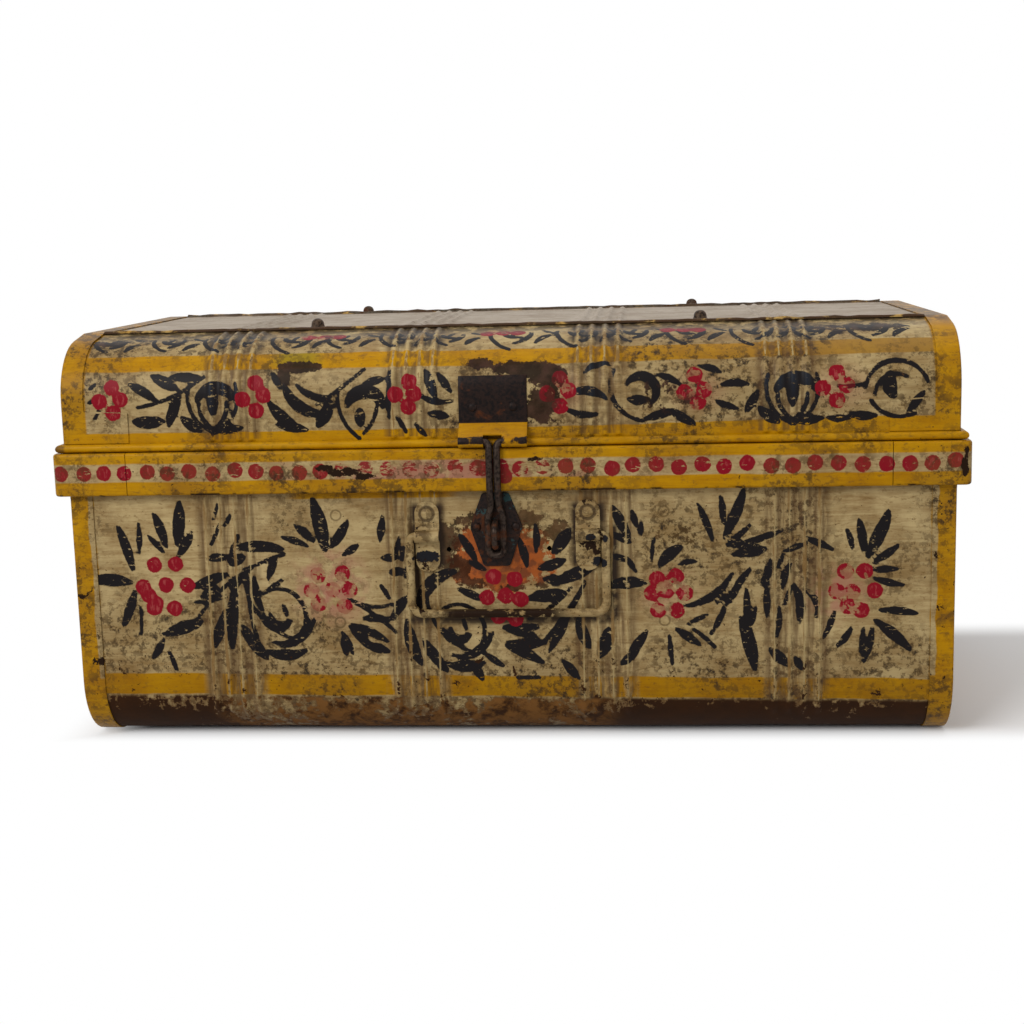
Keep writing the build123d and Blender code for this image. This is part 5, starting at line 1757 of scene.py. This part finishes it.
STRAP = 1.2
STRAP_Y = -CASE_WALL - RIB_HEIGHT - STRAP


def bracket(where):
    """A round-ended strap with a bulge pressed over the end of the bail."""
    node = "handle_bracket_" + where
    middle, half = (low(node).x + high(node).x) / 2, (high(node).x - low(node).x) / 2
    bottom, top = low(node).z, high(node).z
    bulge = BAIL_WIRE + 0.08 + STRAP

    def place(share, z):
        from_end = min(z - bottom, top - z)
        round_half = math.sqrt(max(0.0, 1 - max(0.0, 1 - from_end / half) ** 2)) * half
        up = abs(z - BAIL_PIVOT)
        y = min(STRAP_Y, BAIL_Y - math.sqrt(bulge ** 2 - up ** 2)) if up < bulge else STRAP_Y
        foot = 1.4 * ramp(up, bulge + 1.6, bulge) if up >= bulge - 0.01 else 0.0
        return (middle + share * round_half, min(y, STRAP_Y - 0.3 * foot), z)

    reach = bulge + 2
    rows = sorted(set(even(bottom, top, 2.0)) | set(even(bottom, bottom + half, 0.7))
                  | set(even(top - half, top, 0.7)) | set(even(BAIL_PIVOT - reach, BAIL_PIVOT + reach, 0.4)))
    return laid_grid([-1, -0.8, -0.5, 0, 0.5, 0.8, 1], rows, place)


# %% [markdown]
# ## Rivets and studs
# A rivet's head is a low dome, and a stud is a turned knob with a flared foot. Anything round is
# quickest as half a profile spun through a full turn, with the last step merged onto the first.

# %% Turned heads
def turned(profile, matrix, sides=20):
    """A profile of (radius, height) points spun round its own axis and set on its seat."""
    work = bmesh.new()
    verts = [work.verts.new((radius, 0, height)) for radius, height in profile]
    edges = [work.edges.new(pair) for pair in zip(verts, verts[1:])]
    bmesh.ops.spin(work, geom=verts + edges, cent=(0, 0, 0), axis=(0, 0, 1), angle=2 * math.pi,
                   steps=sides, dvec=(0, 0, 0), use_merge=True, use_duplicate=False)
    bmesh.ops.remove_doubles(work, verts=work.verts, dist=0.01)
    bmesh.ops.recalc_face_normals(work, faces=work.faces)
    bmesh.ops.transform(work, matrix=matrix, verts=work.verts)
    return work


def facing(x, y, z, back=False):
    """A seat whose axis points out of the front, or out of the back."""
    return Matrix.Translation((x, y, z)) @ Matrix.Rotation(math.radians(-90 if back else 90), 4, "X")


def dome(radius, height):
    """A low head, its foot a little sunk into the plate."""
    angles = even(0, math.pi / 2, math.pi / 10)
    return [(radius * 0.99, -0.3)] + [(radius * math.cos(a), height * math.sin(a)) for a in angles]


HEAD_HEIGHT = 1.2
TAIL = [(2.2, -0.1), (2.1, 0.5), (1.4, 0.7), (0, 0.7)]


def rivets(node, seat_y):
    """Domed heads at both places of a pair of rivets, and their hammered tails inside."""
    z = (low(node).z + high(node).z) / 2
    radius = (high(node).z - low(node).z) / 2
    spots = [low(node).x + radius, high(node).x - radius]
    heads = [turned(dome(radius, HEAD_HEIGHT), facing(x, seat_y, z)) for x in spots]
    tails = [turned(TAIL, facing(x, high(node).y - TAIL[-1][1], z, back=True)) for x in spots]
    return join(heads + tails)


STUD_FOOT = 5.8
STUD_BEFORE_SEAM, STUD_BEHIND_SEAM = 8.0, 8.5


def stud_seats():
    """Seats of the four studs: two on the top, two on the slope behind it."""
    x = high("lid_studs").x - STUD_FOOT
    on_top = Matrix.Translation((0, -SEAM_Y + STUD_BEFORE_SEAM, TOP_Z))
    foot = (0, SEAM_Y + STUD_BEHIND_SEAM, TOP_Z - STUD_BEHIND_SEAM * math.tan(SLOPE))
    on_slope = Matrix.Translation(foot) @ Matrix.Rotation(-SLOPE, 4, "X")
    return [Matrix.Translation((side * x, 0, 0)) @ seat for seat in (on_top, on_slope) for side in (-1, 1)]


STUD = [(5.7, -0.2), (5.65, 0.25), (5.2, 0.7), (4.35, 1.15), (3.9, 1.8), (3.75, 2.5), (3.6, 3.5), (3.2, 4.6),
        (2.4, 5.5), (1.3, 6.05), (0, 6.2)]


def studs():
    return join([turned(STUD, seat, 24) for seat in stud_seats()])


# %% Rivets of the hinges
def hinge_rivets(body):
    """Two heads on each leaf: on the collar for the case, on the back wall for the lid."""
    heads = []
    for _, where in SIDES:
        node = "hinge_%s_leaf_%s" % (body, where)
        x = (low(node).x + high(node).x) / 2
        z = COLLAR_LOW + 12.1 if body == "case" else high(node).z - 6.5
        y = COLLAR_WALL + 1.2 if body == "case" else LID_WALL + 1.2
        heads += [turned(dome(2.6, 1.1), facing(x + offset, y, z, back=True)) for offset in (-12, 12)]
    return join(heads)


# %% The fittings in place
finish_piece("hasp_strap", "lid", hasp_plate(), [hasp_plate_iron], "hasp_plate", PLATE, 0.25)
finish_piece("hasp_strap_rivets", "lid", rivets("hasp_plate_rivets", -LID_WALL - PLATE + 0.1), [hasp_iron],
             "hasp_plate_rivets")
finish_piece("hasp_wire_loop", "hasp", hasp_wire(), [wire_steel], "hasp_loop")
finish_piece("staple_seat", "case", six_sided_plate(), [hasp_iron], "staple_plate", 1.2, 0.25)
finish_piece("staple_seat_rivets", "case", rivets("staple_plate_rivets", low("staple_plate").y), [hasp_iron],
             "staple_plate_rivets")
finish_piece("staple_wire_loop", "case", staple_wire(), [wire_steel], "staple")
finish_piece("bail_wire_loop", "handle", bail_wire(), [bail_paint], "handle_bail")
for _, where in SIDES:
    finish_piece("bail_bracket_" + where, "case", bracket(where), [bail_paint],
                 "handle_bracket_" + where, 1.15, 0.2)
finish_piece("bail_bracket_rivets", "case", rivets("handle_bracket_rivets", STRAP_Y), [bail_paint],
             "handle_bracket_rivets")
finish_piece("lid_top_studs", "lid", studs(), [stud_iron], "lid_studs")
for body in ("case", "lid"):
    finish_piece("hinge_%s_rivets" % body, body, hinge_rivets(body), [wire_steel], None)
